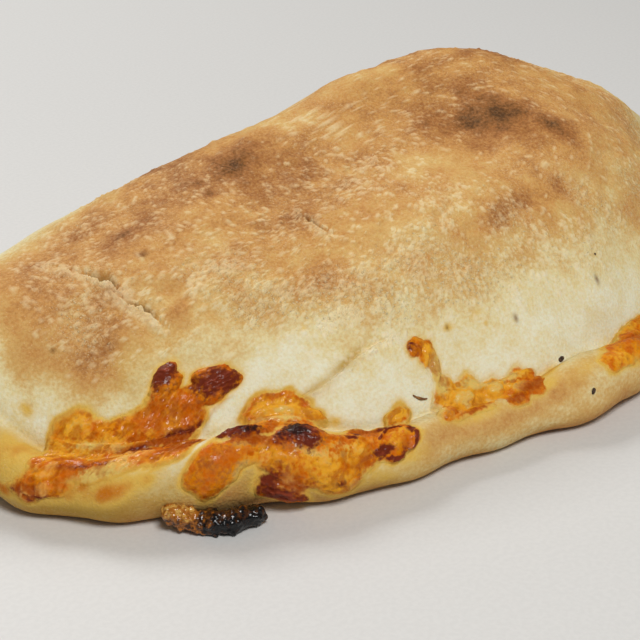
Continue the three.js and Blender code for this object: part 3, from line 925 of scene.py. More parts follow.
class CheeseFinish(Finish):
    """Cheese baked onto the crust: orange, gold where thin, brown to black where it caught, with painted
    highlights on its raised bubbles and ridges and painted shade in its hollows.
    """

    name = "baked_cheese"
    orange = linear(206, 100, 0)
    amber = linear(226, 138, 8)
    # Painted highlight on raised bubbles and wrinkle ridges.
    bubble_highlight = linear(242, 178, 88)
    # Painted shade in the hollows between bubbles.
    crease = linear(168, 78, 4)
    pale = linear(224, 190, 102)
    gold = linear(238, 168, 40)
    brown = linear(166, 74, 8)
    dark = linear(112, 42, 21)
    # Painted highlight on the ridges of dark, caught cheese.
    dark_ridge_highlight = linear(174, 82, 54)
    char = linear(50, 24, 20)
    mottling = {"Broad scale": 230.0, "Fine scale": 800.0}
    crackling = {"Scale": 620.0, "Wrinkles": 0.4}
    ragged_broadly = 0.22
    ragged_finely = 0.2
    high_mottled = 0.12
    cover_mottled = 0.18
    rim_share = 0.1
    baked = (0.2, 0.9)
    caught = (0.3, 0.85)
    thin = (0.15, 0.8)
    depth = 0.13

    def dress(self) -> None:
        """Mixes the tones kept at the vertices, broken up by grains, thinning out into the dough, with
        painted highlights and shade that follow the relief.
        """
        tree = self.tree
        mottle = self.fed(self.effects.mottle, self.mottling)
        crackle = self.fed(self.effects.crackle, self.crackling)
        broad, fine = mottle.outputs["Broad"], mottle.outputs["Fine"]
        high = tree.plus(tree.attribute("high"), tree.times(fine, self.high_mottled))
        color = tree.mix(tree.spread(broad, -0.6, 0.6), self.orange, self.amber)
        broadly = tree.times(broad, self.ragged_broadly)
        ragged = tree.plus(broadly, tree.times(fine, self.ragged_finely))
        for tone in ("gold", "pale", "brown"):
            share = tree.plus(tree.attribute(tone), ragged)
            color = tree.mix(tree.spread(share, *self.baked), color, getattr(self, tone))
        # Painted highlight on the relief's high places and painted shade in its low places.
        color = tree.mix(tree.spread(high, 0.1, 1.7, 0, 0.75), color, self.bubble_highlight)
        color = tree.mix(tree.spread(high, 0.1, -1.0, 0, 0.6), color, self.crease)
        # Painted highlight along the wrinkle ridges.
        color = tree.mix(tree.times(crackle.outputs["Rims"], self.rim_share), color, self.bubble_highlight)
        # Dark cheese, with painted highlight on its ridges.
        ridged = tree.mix(tree.spread(high, 0, 1.2, 0, 0.5), self.dark, self.dark_ridge_highlight)
        for tone, shade in (("dark", ridged), ("char", self.char)):
            share = tree.plus(tree.attribute(tone), ragged)
            color = tree.mix(tree.spread(share, *self.caught), color, shade)
        tones = {label.title(): tree.attribute(label) for label in ("toast", "oiled", "stain")}
        dough = tree.add("Group", tones, node_tree=self.effects.dough).outputs[0]
        cover = tree.plus(tree.attribute("cover"), tree.times(fine, self.cover_mottled))
        cover = tree.spread(cover, *self.thin)
        color = tree.mix(cover, dough, color)
        rough = tree.spread(cover, 0, 1, 0.7, tree.spread(fine, -1, 1, 0.4, 0.6))
        bump = self.bump(crackle.outputs["Height"], self.depth)
        self.feed(Base_Color=color, Roughness=rough, Normal=bump)
        glinting = tree.times(cover, tree.spread(fine, 0.05, 0.5, 0.05, 0.32))
        self.feed(Coat_Weight=glinting, Coat_Roughness=0.1)
        self.feed(Subsurface_Weight=0.1, Subsurface_Scale=0.0012, Specular_IOR_Level=0.05)
        self.feed(Subsurface_Radius=(1.0, 0.4, 0.1))


class BurntFinish(Finish):
    """Cheese burnt black and glossy, amber where it is thinner, with pale gold on its least burnt part that
    is partly painted glints.
    """

    name = "burnt_cheese"
    black = linear(8, 7, 9)
    umber = linear(76, 40, 12)
    amber = linear(178, 106, 30)
    # Pale gold, partly painted glints on the least burnt bubbles.
    gold = linear(226, 180, 92)
    mottling = {"Broad scale": 620.0, "Fine scale": 1300.0}
    crackling = {"Scale": 1000.0, "Wrinkles": 0.8}
    mottled = 0.45
    depth = 0.25

    def dress(self) -> None:
        """Mixes black, umber and amber by how far each place burnt, and pale gold, partly painted glints,
        where it burnt least.
        """
        tree = self.tree
        mottle = self.fed(self.effects.mottle, self.mottling)
        crackle = self.fed(self.effects.crackle, self.crackling)
        patchy = tree.times(mottle.outputs["Broad"], self.mottled)
        share = tree.plus(tree.attribute("spared"), patchy)
        color = tree.mix(tree.spread(share, 0.1, 0.45), self.black, self.umber)
        color = tree.mix(tree.spread(share, 0.45, 0.85), color, self.amber)
        # Pale gold, partly painted glints.
        color = tree.mix(tree.spread(share, 1.0, 1.35, 0, 0.85), color, self.gold)
        rough = tree.spread(mottle.outputs["Fine"], -1, 1, 0.35, 0.6)
        bump = self.bump(crackle.outputs["Height"], self.depth)
        self.feed(Base_Color=color, Roughness=rough, Normal=bump)
        self.feed(Coat_Weight=0.6, Coat_Roughness=0.06, Specular_IOR_Level=0.1)


class CrumbFinish(Finish):
    """The base of the small toppings' finishes: two tones in fine streaks."""

    mottling = {"Broad scale": 900.0, "Fine scale": 2200.0}
    dark = linear(34, 22, 14)
    light = linear(92, 60, 34)
    roughness = (0.45, 0.75)
    depth = 0.12

    def dress(self) -> None:
        """Mixes the two tones."""
        tree = self.tree
        mottle = self.fed(self.effects.mottle, self.mottling)
        color = tree.mix(tree.spread(mottle.outputs["Broad"], -1, 1), self.dark, self.light)
        rough = tree.spread(mottle.outputs["Fine"], -1, 1, *self.roughness)
        bump = self.bump(mottle.outputs["Fine"], self.depth)
        self.feed(Base_Color=color, Roughness=rough, Normal=bump)


class HerbFinish(CrumbFinish):
    """A dried herb stalk, brown with an olive cast."""

    name = "dried_herb"
    mottling = {"Broad scale": 900.0, "Fine scale": 2600.0}
    dark = linear(104, 60, 26)
    light = linear(176, 122, 62)
    roughness = (0.6, 0.85)
    depth = 0.1


class SpeckFinish(CrumbFinish):
    """Crumbs of burnt flour and pepper, near-black and dark brown."""

    name = "burnt_specks"


class FloorFinish(Finish):
    """A plain pale floor."""

    name = "pale_floor"
    first = linear(214, 212, 208)
    second = linear(218, 216, 212)
    grain_size = 1.5

    def dress(self) -> None:
        """Gives the floor one pale colour with a faint grain."""
        grain = self.tree.noise(self.place, self.grain_size, 2)
        color = self.tree.mix(self.tree.spread(grain, 0.3, 0.7), self.first, self.second)
        self.feed(Base_Color=color, Roughness=0.55)


def placed(name: str, data: object) -> Object:
    """Puts a new object in the scene, with its mesh, light or camera."""
    bpy.context.scene.collection.objects.link(thing := bpy.data.objects.new(name, data))
    return thing


def make_piece(
    name: str, points: Array, faces: list, finish: Finish, values: dict[str, Array] | None = None
) -> Object:
    """Makes a smooth-shaded piece that rides on the part.

    Args:
        name: The piece's name.
        points: Its vertices, in the crust's own frame.
        faces: Its faces, as lists of vertex numbers.
        finish: What it is dressed with.
        values: Values kept at its vertices.

    Returns:
        The new object.
    """
    mesh = bpy.data.meshes.new(name)
    mesh.from_pydata(PLACE.metres(points).tolist(), [], faces)
    mesh.validate()
    mesh.polygons.foreach_set("use_smooth", [True] * len(mesh.polygons))
    for label, value in (values or {}).items():
        layer = mesh.attributes.new(label, "FLOAT", "POINT")
        layer.data.foreach_set("value", np.asarray(value, np.float32).ravel())
    mesh.materials.append(finish.material)
    piece = placed(name, mesh)
    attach(piece, "root")
    log.info("%s: %d triangles", name, sum(len(p.vertices) - 2 for p in mesh.polygons))
    return piece


@frozen
class Pad:
    """A round-edged pad of cheese in seam coordinates."""

    u: float
    v: float
    long: float
    wide: float
    thick: float
    turn: float = 0.0
    wobble: float = 0.07

    def radius(self, u: Array, v: Array) -> Array:
        """How far places are from the pad's middle.

        Args:
            u, v: Places in seam coordinates.

        Returns:
            The distance as a share of the pad's own radius: 1 on its edge.
        """
        du, dv = u - self.u, v - self.v
        a = (du * math.cos(self.turn) + dv * math.sin(self.turn)) / self.long
        b = (dv * math.cos(self.turn) - du * math.sin(self.turn)) / self.wide
        angle = np.arctan2(b, a)
        return np.hypot(a, b) / (1 + self.wobble * (np.sin(3 * angle + self.u) + np.sin(5 * angle + self.v)))

    def past_edge(self, u: Array, v: Array) -> Array:
        """How far places are past the pad's edge, in millimetres."""
        return (self.radius(u, v) - 1) * min(self.long, self.wide)


class Tone(Enum):
    """What a spot of the cheese turned to; calm cheese stayed smooth, bare cheese shows the dough."""

    CALM = "calm"
    BARE = "bare"
    PALE = "pale"
    GOLD = "gold"
    BROWN = "brown"
    DARK = "dark"
    CHAR = "char"


@frozen
class Blister:
    """A large bubble of cheese: a ridge round a pool or a dome, with a pale or burnt edge."""

    u: float
    v: float
    long: float
    wide: float
    dome: float
    ridge: float = 0.0
    burnt: float = 0.0
    pale: float = 0.0
    ring: float = 0.17


@frozen
class Bubbling:
    """Round bubbles scattered over squares: which squares, their side, the share used and the rise."""

    start: float
    size: float
    share: float
    rise: float
    least: float = 0.28
    more: float = 0.34

    def at(self, plane: Array, noise: Noise) -> Array:
        """The bubbles' height.

        Args:
            plane: The seam coordinates.
            noise: The noise that scatters them.

        Returns:
            The height at each place, in millimetres.
        """
        away, owner = noise.cells(plane + self.start, self.size)
        reach = self.least + self.more * owner / self.share
        dome = np.sqrt(np.clip(1 - (away / reach) ** 2, 0, 1)) * reach / (self.least + self.more)
        return self.rise * dome * (owner < self.share)


@frozen
class CheeseSkin:
    """The relief that baking gives cheese: bubbles, burst bubbles, folds and wrinkles."""

    bend: float = 0.5
    bends: tuple[Cloud, ...] = (Cloud(0, 2.0), Cloud(60, 2.0))
    bubblings: tuple[Bubbling, ...] = (Bubbling(0, 5.4, 0.5, 0.6), Bubbling(40, 3.0, 0.6, 0.36))
    folds: tuple[Cloud, ...] = (Cloud(900, 3.0), Cloud(450, 1.5))
    fold_rises: tuple[float, ...] = (0.34, 0.18)
    fold_width: float = 0.32
    stretch: float = 0.42
    burst_start: float = 20.0
    burst_size: float = 3.6
    burst_from: float = 0.82
    burst_rim: float = 0.28
    burst_pit: float = 0.34
    crease: Cloud = Cloud(130, 4.6)
    crease_width: float = 0.14
    crease_rise: float = 0.22
    swelling: Cloud = Cloud(0, 5, 0.2)
    mean: float = 0.42
    wrinkle: Cloud = Cloud(200, 1.9)
    wrinkle_width: float = 0.3
    wrinkle_rise: float = 0.45
    wrinkle_mean: float = 0.16

    def relief(self, plane: Array, noise: Noise) -> Array:
        """Bubbles, burst bubbles and folds.

        Args:
            plane: The seam coordinates.
            noise: The patch's noise.

        Returns:
            The height at each place, in millimetres about a mean of 0.
        """
        bent = plane + self.bend * np.stack([cloud.at(plane, noise) for cloud in self.bends], -1)
        height = np.maximum.reduce([bubbling.at(bent, noise) for bubbling in self.bubblings])
        for fold, rise in zip(self.folds, self.fold_rises):
            height += rise * ridges(fold.at(bent * np.array([1.0, self.stretch]), noise), self.fold_width)
        away, owner = noise.cells(bent + self.burst_start, self.burst_size)
        rim = self.burst_rim * np.exp(-(((away - 0.36) / 0.1) ** 2))
        height += (owner > self.burst_from) * (rim - self.burst_pit * ease(0.34, 0.1, away))
        height += self.crease_rise * ridges(self.crease.at(bent, noise), self.crease_width)
        return height - self.mean + self.swelling.at(plane, noise)

    def shrivelled(self, plane: Array, noise: Noise) -> Array:
        """Wrinkles along the seam, where cheese dried dark, in millimetres."""
        wrinkled = self.wrinkle.at(plane * np.array([self.stretch, 1.0]), noise)
        return self.wrinkle_rise * ridges(wrinkled, self.wrinkle_width) - self.wrinkle_mean


@dataclass
class CheesePatch:
    """One patch of leaked cheese, which replaces its own solid."""

    node: str
    seed: int
    pads: tuple[Pad, ...]
    spots: dict[Tone, Marks]
    blisters: tuple[Blister, ...] = ()
    skin: CheeseSkin = CheeseSkin()
    bubbles: float = 1.0
    calmed: float = 0.85
    dried: float = 0.6
    high_unit: float = 0.3
    firm: float = 0.5
    firm_from: float = 2.5
    soft: float = 1.1
    join: float = 5.0
    pitch: float = 0.34
    margin: float = 3.0
    ragged: float = 0.7
    outline: tuple[Cloud, ...] = (Cloud(0, 3.4), Cloud(90, 3.4))
    halo: float = 0.6
    edge: float = 0.6
    edge_at: float = 0.6
    edge_width: float = 0.4
    clearance: float = 0.4
    sunk: float = 0.7
    underside: float = 1.1
    kept_from: float = -0.55

    @property
    def noise(self) -> Noise:
        """The patch's own noise."""
        return Noise(SEED + self.seed)

    def warped(self, u: Array, v: Array) -> list[Array]:
        """Bends the seam coordinates, so that the patch's outline is uneven."""
        bends = [self.ragged * cloud.at(np.stack([u, v], -1), self.noise) for cloud in self.outline]
        return [u + bends[0], v + bends[1]]

    def outside(self, u: Array, v: Array) -> Array:
        """How far places are outside the patch, in millimetres, and 0 inside."""
        place = self.warped(u, v)
        return np.maximum(0, np.minimum.reduce([pad.past_edge(*place) for pad in self.pads]))

    def thickness(self, u: Array, v: Array) -> Array:
        """The thickness of the pads, softly joined, negative outside the patch.

        Args:
            u, v: The bent seam coordinates.

        Returns:
            The thickness at each place.
        """
        total = np.zeros(np.shape(u))
        for pad in self.pads:
            inside = 1 - pad.radius(u, v) ** 2
            power = self.firm if pad.thick > self.firm_from else self.soft
            height = pad.thick * np.sign(inside) * np.abs(inside) ** power
            total += np.exp(self.join * np.clip(height, -3, 4))
        return np.log(total) / self.join

    def lattice(self) -> tuple[Array, Array]:
        """Spans the patch with a grid.

        Returns:
            The grid's stations along the crease and across it, past all pads.
        """
        spans = []
        for axis, half in (("u", "long"), ("v", "wide")):
            low = min(getattr(pad, axis) - getattr(pad, half) for pad in self.pads)
            high = max(getattr(pad, axis) + getattr(pad, half) for pad in self.pads)
            spans.append(np.arange(low - self.margin, high + self.margin, self.pitch))
        return spans[0], spans[1]

    def risen(
        self, u: Array, v: Array, plane: Array, thick: Array, values: dict[str, Array]
    ) -> tuple[Array, Array]:
        """Raises the patch's skin and its blisters, and adds the blisters' tones.

        Args:
            u, v: The bent seam coordinates.
            plane: The seam coordinates as they are.
            thick: The pads' thickness.
            values: The tones by their names, which the blisters change.

        Returns:
            The height over the dough, and how high each place is on its own bubble.
        """
        noise = self.noise
        calm = 1 - self.calmed * np.clip(values["calm"], 0, 1)
        relief = self.bubbles * self.skin.relief(plane, noise) * calm
        dark = ease(0.3, 0.9, values["dark"])
        relief = relief * (1 - self.dried * dark) + self.skin.shrivelled(plane, noise) * dark
        top = thick + relief * ease(-0.1, 1.0, thick)
        # How high each place is on its bubble; the finish paints highlights on high places and shade in low
        # ones.
        high = relief / self.high_unit
        for blister in self.blisters:
            away = np.hypot((u - blister.u) / blister.long, (v - blister.v) / blister.wide)
            ring = np.exp(-(((away - 1) / blister.ring) ** 2))
            top = top + blister.dome * np.sqrt(np.clip(1 - away**2, 0, 1))
            top = top + blister.ridge * ring * (0.6 + 0.8 * noise.smooth(plane + 50, 1.8))
            high = high * ease(0.6, 1.1, away) + 0.6 * blister.dome * np.clip(1 - away, 0, 1)
            burnt = blister.burnt * ring * ease(-0.35, 0.3, noise.layered(plane + 70, 3.2))
            values["dark"] = np.maximum(values["dark"], burnt)
            values["pale"] = np.maximum(values["pale"], blister.pale * ease(1.05, 0.5, away))
        return top, high

    def browned(self, thick: Array, plane: Array) -> Array:
        """How browned the patch's thin edge is."""
        band = np.exp(-(((thick - self.edge_at) / self.edge_width) ** 2))
        return self.edge * band * (0.6 + 0.8 * self.noise.layered(plane + 33, 4))

    def build(self, finish: CheeseFinish, crust: "Crust") -> Object:
        """Makes the patch.

        Args:
            finish: The cheese's finish.
            crust: The crust, whose tones its thin edge takes.

        Returns:
            The new object.
        """
        us, vs = self.lattice()
        uu, vv = np.meshgrid(us, vs, indexing="ij")
        plane = np.stack([uu, vv], -1)
        wu, wv = self.warped(uu, vv)
        thick = self.thickness(wu, wv)
        values = {tone.value: strongest(self.spots.get(tone, ()), wu, wv) for tone in Tone}
        top, values["high"] = self.risen(wu, wv, plane, thick, values)
        skin, normal = FORM.skin(us, vv)
        dough = FORM.seam(us, vv)
        buried = np.sum((dough - skin) * normal, -1) + self.clearance
        top = np.maximum(top, buried * ease(0.1, 0.8, thick) + top * ease(0.8, 0.1, thick))
        share = ease(-0.5, 0.35, thick)[..., None]
        upper = (dough - normal * self.sunk) * (1 - share) + (skin + normal * top[..., None]) * share
        lower = dough - normal * self.underside
        used = thick > self.kept_from
        kept = used[:-1, :-1] | used[1:, :-1] | used[:-1, 1:] | used[1:, 1:]
        values["cover"] = ease(-0.1, 0.9, thick) * (1 - np.clip(values["bare"], 0, 1))
        brown = self.browned(thick, plane) * (1 - np.clip(values["pale"], 0, 1))
        values["brown"] = np.maximum(values["brown"], brown)
        values |= crust.tones(FORM.site(uu, vv, *FORM.seat(us, vv)))
        points, faces, pick = closed_sheet(upper, lower, kept)
        at_points = {label: np.tile(value.ravel()[pick], 2) for label, value in values.items()}
        piece = make_piece(self.node + "_baked", points, faces, finish, at_points)
        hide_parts(self.node)
        return piece


def closed_sheet(upper: Array, lower: Array, kept: Array) -> tuple[Array, list, Array]:
    """Closes a sheet of kept cells between an upper and a lower surface.

    Args:
        upper: The upper surface's points on a grid.
        lower: The lower surface's points on the same grid.
        kept: Which cells of the grid are kept.

    Returns:
        The points, the faces, and which grid points were used.
    """
    rows, columns = upper.shape[:2]
    number = np.arange(rows * columns).reshape(rows, columns)
    corners = np.stack([number[:-1, :-1], number[1:, :-1], number[1:, 1:], number[:-1, 1:]], -1)[kept]
    pick = np.unique(corners)
    renumber = np.full(rows * columns, -1)
    renumber[pick] = np.arange(len(pick))
    cells = renumber[corners]
    edges = dict.fromkeys(edge for cell in cells.tolist() for edge in zip(cell, cell[1:] + cell[:1]))
    border = [(a, b) for a, b in edges if (b, a) not in edges]
    offset = len(pick)
    faces = cells.tolist() + (cells[:, ::-1] + offset).tolist()
    faces += [[b, a, a + offset, b + offset] for a, b in border]
    points = np.concatenate([upper.reshape(-1, 3)[pick], lower.reshape(-1, 3)[pick]])
    return points, faces, pick


LEFT_CHEESE = CheesePatch(
    node="cheese_left",
    seed=2,
    bubbles=0.72,
    edge=0.4,
    pads=rows(
        Pad, (-149, 6, 8.5, 9.5, 1.5, 0.1), (-141, 3.5, 10, 9, 1.6), (-133, 7, 10, 9.5, 1.7),
        (-123, 8, 9.5, 9.5, 1.8), (-118.5, 5.5, 5.6, 8.5, 1.9), (-121, 15, 8.5, 6.5, 2), (-129, 18, 5, 6, 2),
        (-130, 23.2, 6.6, 4.2, 3, 2.03), (-113.6, 18.3, 9.4, 5.8, 3.2, -0.5), (-147, -6, 9, 7, 1.3),
        (-148, -14.5, 9.5, 5.5, 1.2, 0.1), (-134.5, -8.6, 10.5, 6.4, 1.25), (-125, -6, 9, 7.4, 1.4, 0.1),
        (-115.5, -7.4, 8, 7.6, 1.5, -0.05),
    ),
    spots={
        Tone.CALM: marks((-120, 8, 9, 7, 0.4)),
        Tone.BARE: marks((-134, 19.5, 2.4, 4.5, 0.9, 0.2), (-157, -8, 4, 9, 0.4)),
        Tone.PALE: marks(
            (-133, -12.4, 9, 3, 1.1, 0.05), (-127, -8, 5, 2.5, 0.7), (-143, 3.5, 6, 3, 0.9),
            (-135, 1.5, 5, 2.4, 0.8), (-151, 10, 2, 2.5, 0.6),
        ),
        Tone.GOLD: marks(
            (-117, -12.6, 7, 1.4, 0.9), (-143, 0, 8, 5, 0.8), (-133, 2, 7, 5, 0.8), (-129, -5, 5, 3, 0.9),
            (-152, -2, 6, 7, 0.8), (-147, 5.5, 5, 4), (-151, 9, 4, 6, 1.1), (-140, 4, 7, 4, 1.2),
            (-130, 8, 5, 3, 0.6),
        ),
        Tone.BROWN: marks(
            (-117.5, 2.6, 11, 5, 1.25), (-127.5, 0.4, 7, 3, 1.2, 0.1), (-140, -8.8, 10, 1.6, 1, -0.05),
            (-112.5, -7, 9, 4.4, 1.25, 0.1), (-124, -5, 5, 3, 0.9), (-120, 13, 8, 5, 0.65),
            (-128, 15, 5, 5, 0.6), (-116, 8, 5, 5, 0.6), (-152, -16.5, 9, 3, 1.1),
        ),
        Tone.DARK: marks(
            (-131.6, 25.6, 6.2, 4.6, 1.2, 2.03), (-113.2, 19.2, 9.8, 5.6, 1.15, -0.5),
            (-118, 4.8, 7.5, 2.8, 0.95), (-128.5, 0.6, 4.6, 1.6, 0.85, 0.1),
            (-138.5, -9, 7, 0.8, 0.75, -0.08), (-109.5, -5.5, 3.5, 1.6, 0.7, 0.1),
            (-147.5, -18.2, 3.6, 1.2, 0.8), (-155, -16.6, 3, 1.2, 0.6), (-126, -3, 4, 1.2, 0.8, 0.1),
        ),
    },
)
MIDDLE_CHEESE = CheesePatch(
    node="cheese_middle",
    seed=3,
    bubbles=0.8,
    pads=rows(
        Pad, (-93.5, 4.5, 7.8, 6.3, 1.6, 0.1), (-86, 4, 7, 6, 1.6, -0.1), (-80.5, 2.4, 4.8, 3.6, 1.4, -0.1),
        (-87, -3.2, 10, 5, 1.2), (-53, 1.4, 4.8, 4.8, 1.4, 0.15), (-94.5, -9.5, 8.5, 3.6, 2),
        (-80, -9.5, 7.5, 5, 2.3), (-100, -20.5, 9, 9.5, 1.5, 0.1), (-92.5, -17, 6.6, 6.4, 1.4, -0.2),
        (-82, -18, 8, 9.5, 1.6), (-83, -29, 6.5, 6.5, 1.6), (-72, -17, 9, 10.5, 1.5), (-63, -9, 8.5, 9, 1.5),
        (-54.5, -9.5, 7.4, 8, 2),
    ),
    spots={
        Tone.CALM: marks(
            (-100, -20, 8, 9.5, 1.3), (-75, -18, 7, 5, 0.5), (-88, 3, 9, 4, 0.8), (-54.5, -10, 4, 4, 0.2),
        ),
        Tone.PALE: marks(
            (-88.5, 2.6, 4, 2, 0.8), (-51, 4, 2.4, 1.6, 0.7), (-88, -2, 8, 2.5, 0.9),
            (-91.5, -25, 3.2, 5, 0.9, 0.2), (-70, -12, 5, 3, 0.5), (-78, -14.5, 8, 2, 0.7),
            (-92, -14.5, 5, 2, 0.7, 0.3),
        ),
        Tone.GOLD: marks(
            (-89.5, 3.4, 8, 4, 1.5), (-80, 3, 6, 4, 0.8), (-96, 7, 4, 3, 0.6), (-53, 3, 5, 4, 1.5),
            (-84, -22, 6, 2.6, 1, 0.2), (-80, -25, 4.5, 1.2, 0.7, 0.3), (-88, -19, 4, 4, 0.7),
            (-75, -17, 8, 5, 0.8), (-54.5, -9.5, 3.6, 3.6, 0.8), (-66, -13, 6, 4, 0.7),
            (-71, -22, 7, 5, 0.9),
        ),
        Tone.BROWN: marks(
            (-89, -13, 14, 3.6, 0.9), (-83, -27, 8, 6.5, 1.2), (-103, -27.5, 6, 1.6, 0.5),
            (-63, -14.5, 4, 1.2, 0.9, 0.3), (-64, -3, 7, 3, 0.9), (-51, -13, 3, 3, 0.7),
            (-100, -19, 8, 9, 0.6, 0.2), (-101, -29, 8, 0.9, 0.7, 0.12),
        ),
        Tone.DARK: marks(
            (-98, -10.2, 10, 2.6), (-80.5, -10.8, 6.6, 4.6, 1.1), (-86.5, -25.4, 3.8, 2.8, 1.2, 0.4),
            (-84, -29.4, 5.4, 2.8, 1.2, 0.1), (-79.5, -30, 5, 2.2, 1, 0.05),
            (-69.2, -21.4, 1.7, 1.1, 1.1, 0.5), (-67.5, -7.8, 2.6, 0.8, 0.95), (-59.5, -13, 3, 1.1, 1, -0.5),
            (-58, -2.8, 3.4, 1.2, 1, 0.3), (-57.5, -12.5, 2.8, 1.8, 1.1, -0.4),
            (-49.6, -7.5, 1.4, 3, 1, 0.2), (-51, -15, 3.4, 1.3, 1, 0.1), (-66.5, -5.5, 2.4, 0.9, 0.9, -0.3),
        ),
        Tone.CHAR: marks((-93.5, -9.8, 4, 1.5, 0.85), (-82, -10, 4.6, 3.2, 0.95, -0.1)),
    },
    blisters=(Blister(-54.3, -10.3, 5.8, 5.6, -0.35, 0.8, 1.5), Blister(-100, -20.3, 8.6, 9.3, 0.7)),
)
RIGHT_CHEESE = CheesePatch(
    node="cheese_right",
    seed=4,
    bubbles=0.5,
    halo=0.3,
    edge=0.25,
    pads=rows(
        Pad, (-44, 20.5, 4.2, 3.6, 2.3, 0.2), (-39.5, 17.5, 4.6, 5, 1.9, 0.2), (-36.5, 12, 3, 6, 1.6, 0.1),
        (-34.5, 4, 5, 7, 1.6), (-27, 2, 8, 7, 1.8), (-18.5, 1.5, 8, 5.6, 1.6, 0.1),
        (-8.5, 1.5, 8, 5, 1.5, 0.1), (-12, -5, 6, 4.8, 1.5, 0.1), (-34, -5, 5.5, 5, 1.4, 0.1),
        (-26, -6, 9, 2.8, 1.1, 0.15), (-6.5, -3.8, 6.2, 4.8, 1.4, 0.1),
    ),
    spots={
        Tone.BARE: marks((-22, -7, 3, 2, 0.7, 0.1), (-31, -8.4, 2.4, 1.4, 0.6, 0.1)),
        Tone.PALE: marks(
            (-36, 10, 3.6, 7, 1.4), (-10, 3.4, 4, 2.4, 0.9), (-38.4, -3, 2.2, 3.4, 0.9), (-25, 5, 5, 3, 0.9),
            (-18.5, 2.5, 4, 3, 0.8),
        ),
        Tone.GOLD: marks(
            (-39, 17, 3.4, 4.5, 1.5), (-26, 2, 14, 8, 1.5), (-8, 3.5, 7, 2.4, 1.1), (-14, 1, 5, 4, 0.9),
        ),
        Tone.BROWN: marks(
            (-44.5, 19.5, 3, 3, 0.7), (-34, -6, 4, 2, 0.6), (-28, -3.4, 4, 1.4, 0.5),
            # (-6, -4) also darkens the cheese's right end as painted shade where it meets the crease.
            (-12, -6.5, 6, 2.4, 0.8), (-6, -4, 5, 3.4, 1.1), (-27, -7, 7, 1.6, 0.8, 0.1),
        ),
        Tone.DARK: marks((-46.6, 21.3, 2.4, 2.2, 0.7, 0.2), (-9, -8.6, 1.6, 1, 0.5)),
    },
    blisters=(
        Blister(-36, -4.5, 3.6, 3, 1.5, pale=0.3),
        Blister(-29.5, -0.5, 4.2, 3.8, 1.6, pale=0.7),
        Blister(-23.5, 4, 4.4, 3.4, 1.6, pale=1.0),
        Blister(-17.5, 0.5, 3.6, 3.2, 1.4, pale=0.8),
        Blister(-10, -2.5, 4.6, 3.8, 1.2, pale=0.4),
    ),
)
FAR_CHEESE = CheesePatch(
    node="cheese_far",
    seed=5,
    bubbles=0.35,
    edge=0.2,
    pads=rows(
        Pad, (21.5, -12, 7.5, 5, 1.5, 0.1), (31, -9, 9.5, 7.5, 1.7, 0.1), (42, -4, 9, 7, 1.6, 0.15),
        (51, 0, 6.5, 4.6, 1.4, 0.2),
    ),
    spots={
        Tone.BARE: marks((30, -15, 8, 3, 0.4)),
        Tone.GOLD: marks((22, -12, 6, 4, 0.8), (50, 1, 5, 3, 0.6), (40, 2, 10, 4, 0.8)),
        Tone.BROWN: marks((36, -6, 9, 4, 0.8, 0.1)),
    },
)
PATCHES = (LEFT_CHEESE, MIDDLE_CHEESE, RIGHT_CHEESE, FAR_CHEESE)


@frozen
class Crack:
    """A line where the skin tore or folded: one side lies lower and slopes into it, the other has a lip.

    The points are in plan, or in seam coordinates for a line on the wall, with a width of the slope and a
    depth at each. The lip is on the right of the line's way.
    """

    points: tuple[tuple[float, float], ...]
    wide: tuple[float, ...]
    deep: tuple[float, ...]
    lip: float
    torn: float = 1.0
    on_wall: bool = False
    tears: tuple[tuple[float, float], ...] = ((3.2, 0.8), (1.2, 0.4))
    steep: float = 1.5
    lip_wide: float = 1.5
    frayed: Cloud = Cloud(80, 1.3, 0.5)
    far: float = 99.0

    def places(self, site: Site) -> Array:
        """The crust's places in the line's own coordinates."""
        return np.stack([site.u, site.v], -1) if self.on_wall else site.point[:, :2]

    def measure(self, plane: Array) -> tuple[Array, Array, Array]:
        """Measures places against the line.

        Args:
            plane: The places, in the line's own coordinates.

        Returns:
            The distances, positive on the sloping side, and the line's width and depth there.
        """
        signed, wide, deep = np.full(len(plane), self.far), np.ones(len(plane)), np.zeros(len(plane))
        line = np.array(self.points, float)
        for i, start in enumerate(line[:-1]):
            run = line[i + 1] - start
            t = np.clip((plane - start) @ run / (run @ run), 0, 1)
            off = plane - start - t[:, None] * run
            distance = np.linalg.norm(off, axis=1)
            closer = distance < np.abs(signed)
            side = np.where(run[0] * off[:, 1] - run[1] * off[:, 0] < 0, -1, 1)
            signed = np.where(closer, side * distance, signed)
            wide = np.where(closer, self.wide[i] * (1 - t) + self.wide[i + 1] * t, wide)
            deep = np.where(closer, self.deep[i] * (1 - t) + self.deep[i + 1] * t, deep)
        return signed, wide, deep

    def split(self, plane: Array) -> tuple[Array, Array, Array]:
        """How the crack moves the surface.

        Args:
            plane: The places, in the crack's own coordinates.

        Returns:
            The movement, how much painted shade darkens each place inside the line, and how much of it is
            pale lip, painted both for its flour and as a highlight on its raised edge.
        """
        for size, reach in self.tears:
            bend = np.stack([GRAIN.layered(plane + 11, size), GRAIN.layered(plane + 50, size)], -1)
            plane = plane + self.torn * reach * bend
        away, wide, deep = self.measure(plane)
        inside = ease(wide, 0.1 * wide, away) ** self.steep * (away > 0)
        # The lip is painted pale: partly its flour, partly painted highlight where its raised edge catches
        # light.
        lip = np.exp(-((np.maximum(-away, 0) / self.lip_wide) ** 2))
        lip = lip * ease(0, 0.8, deep) * ease(0.5, -0.1, away) * (0.7 + self.frayed.at(plane))
        return self.lip * lip - deep * inside, inside * ease(0.8, 2.2, deep), lip * self.torn


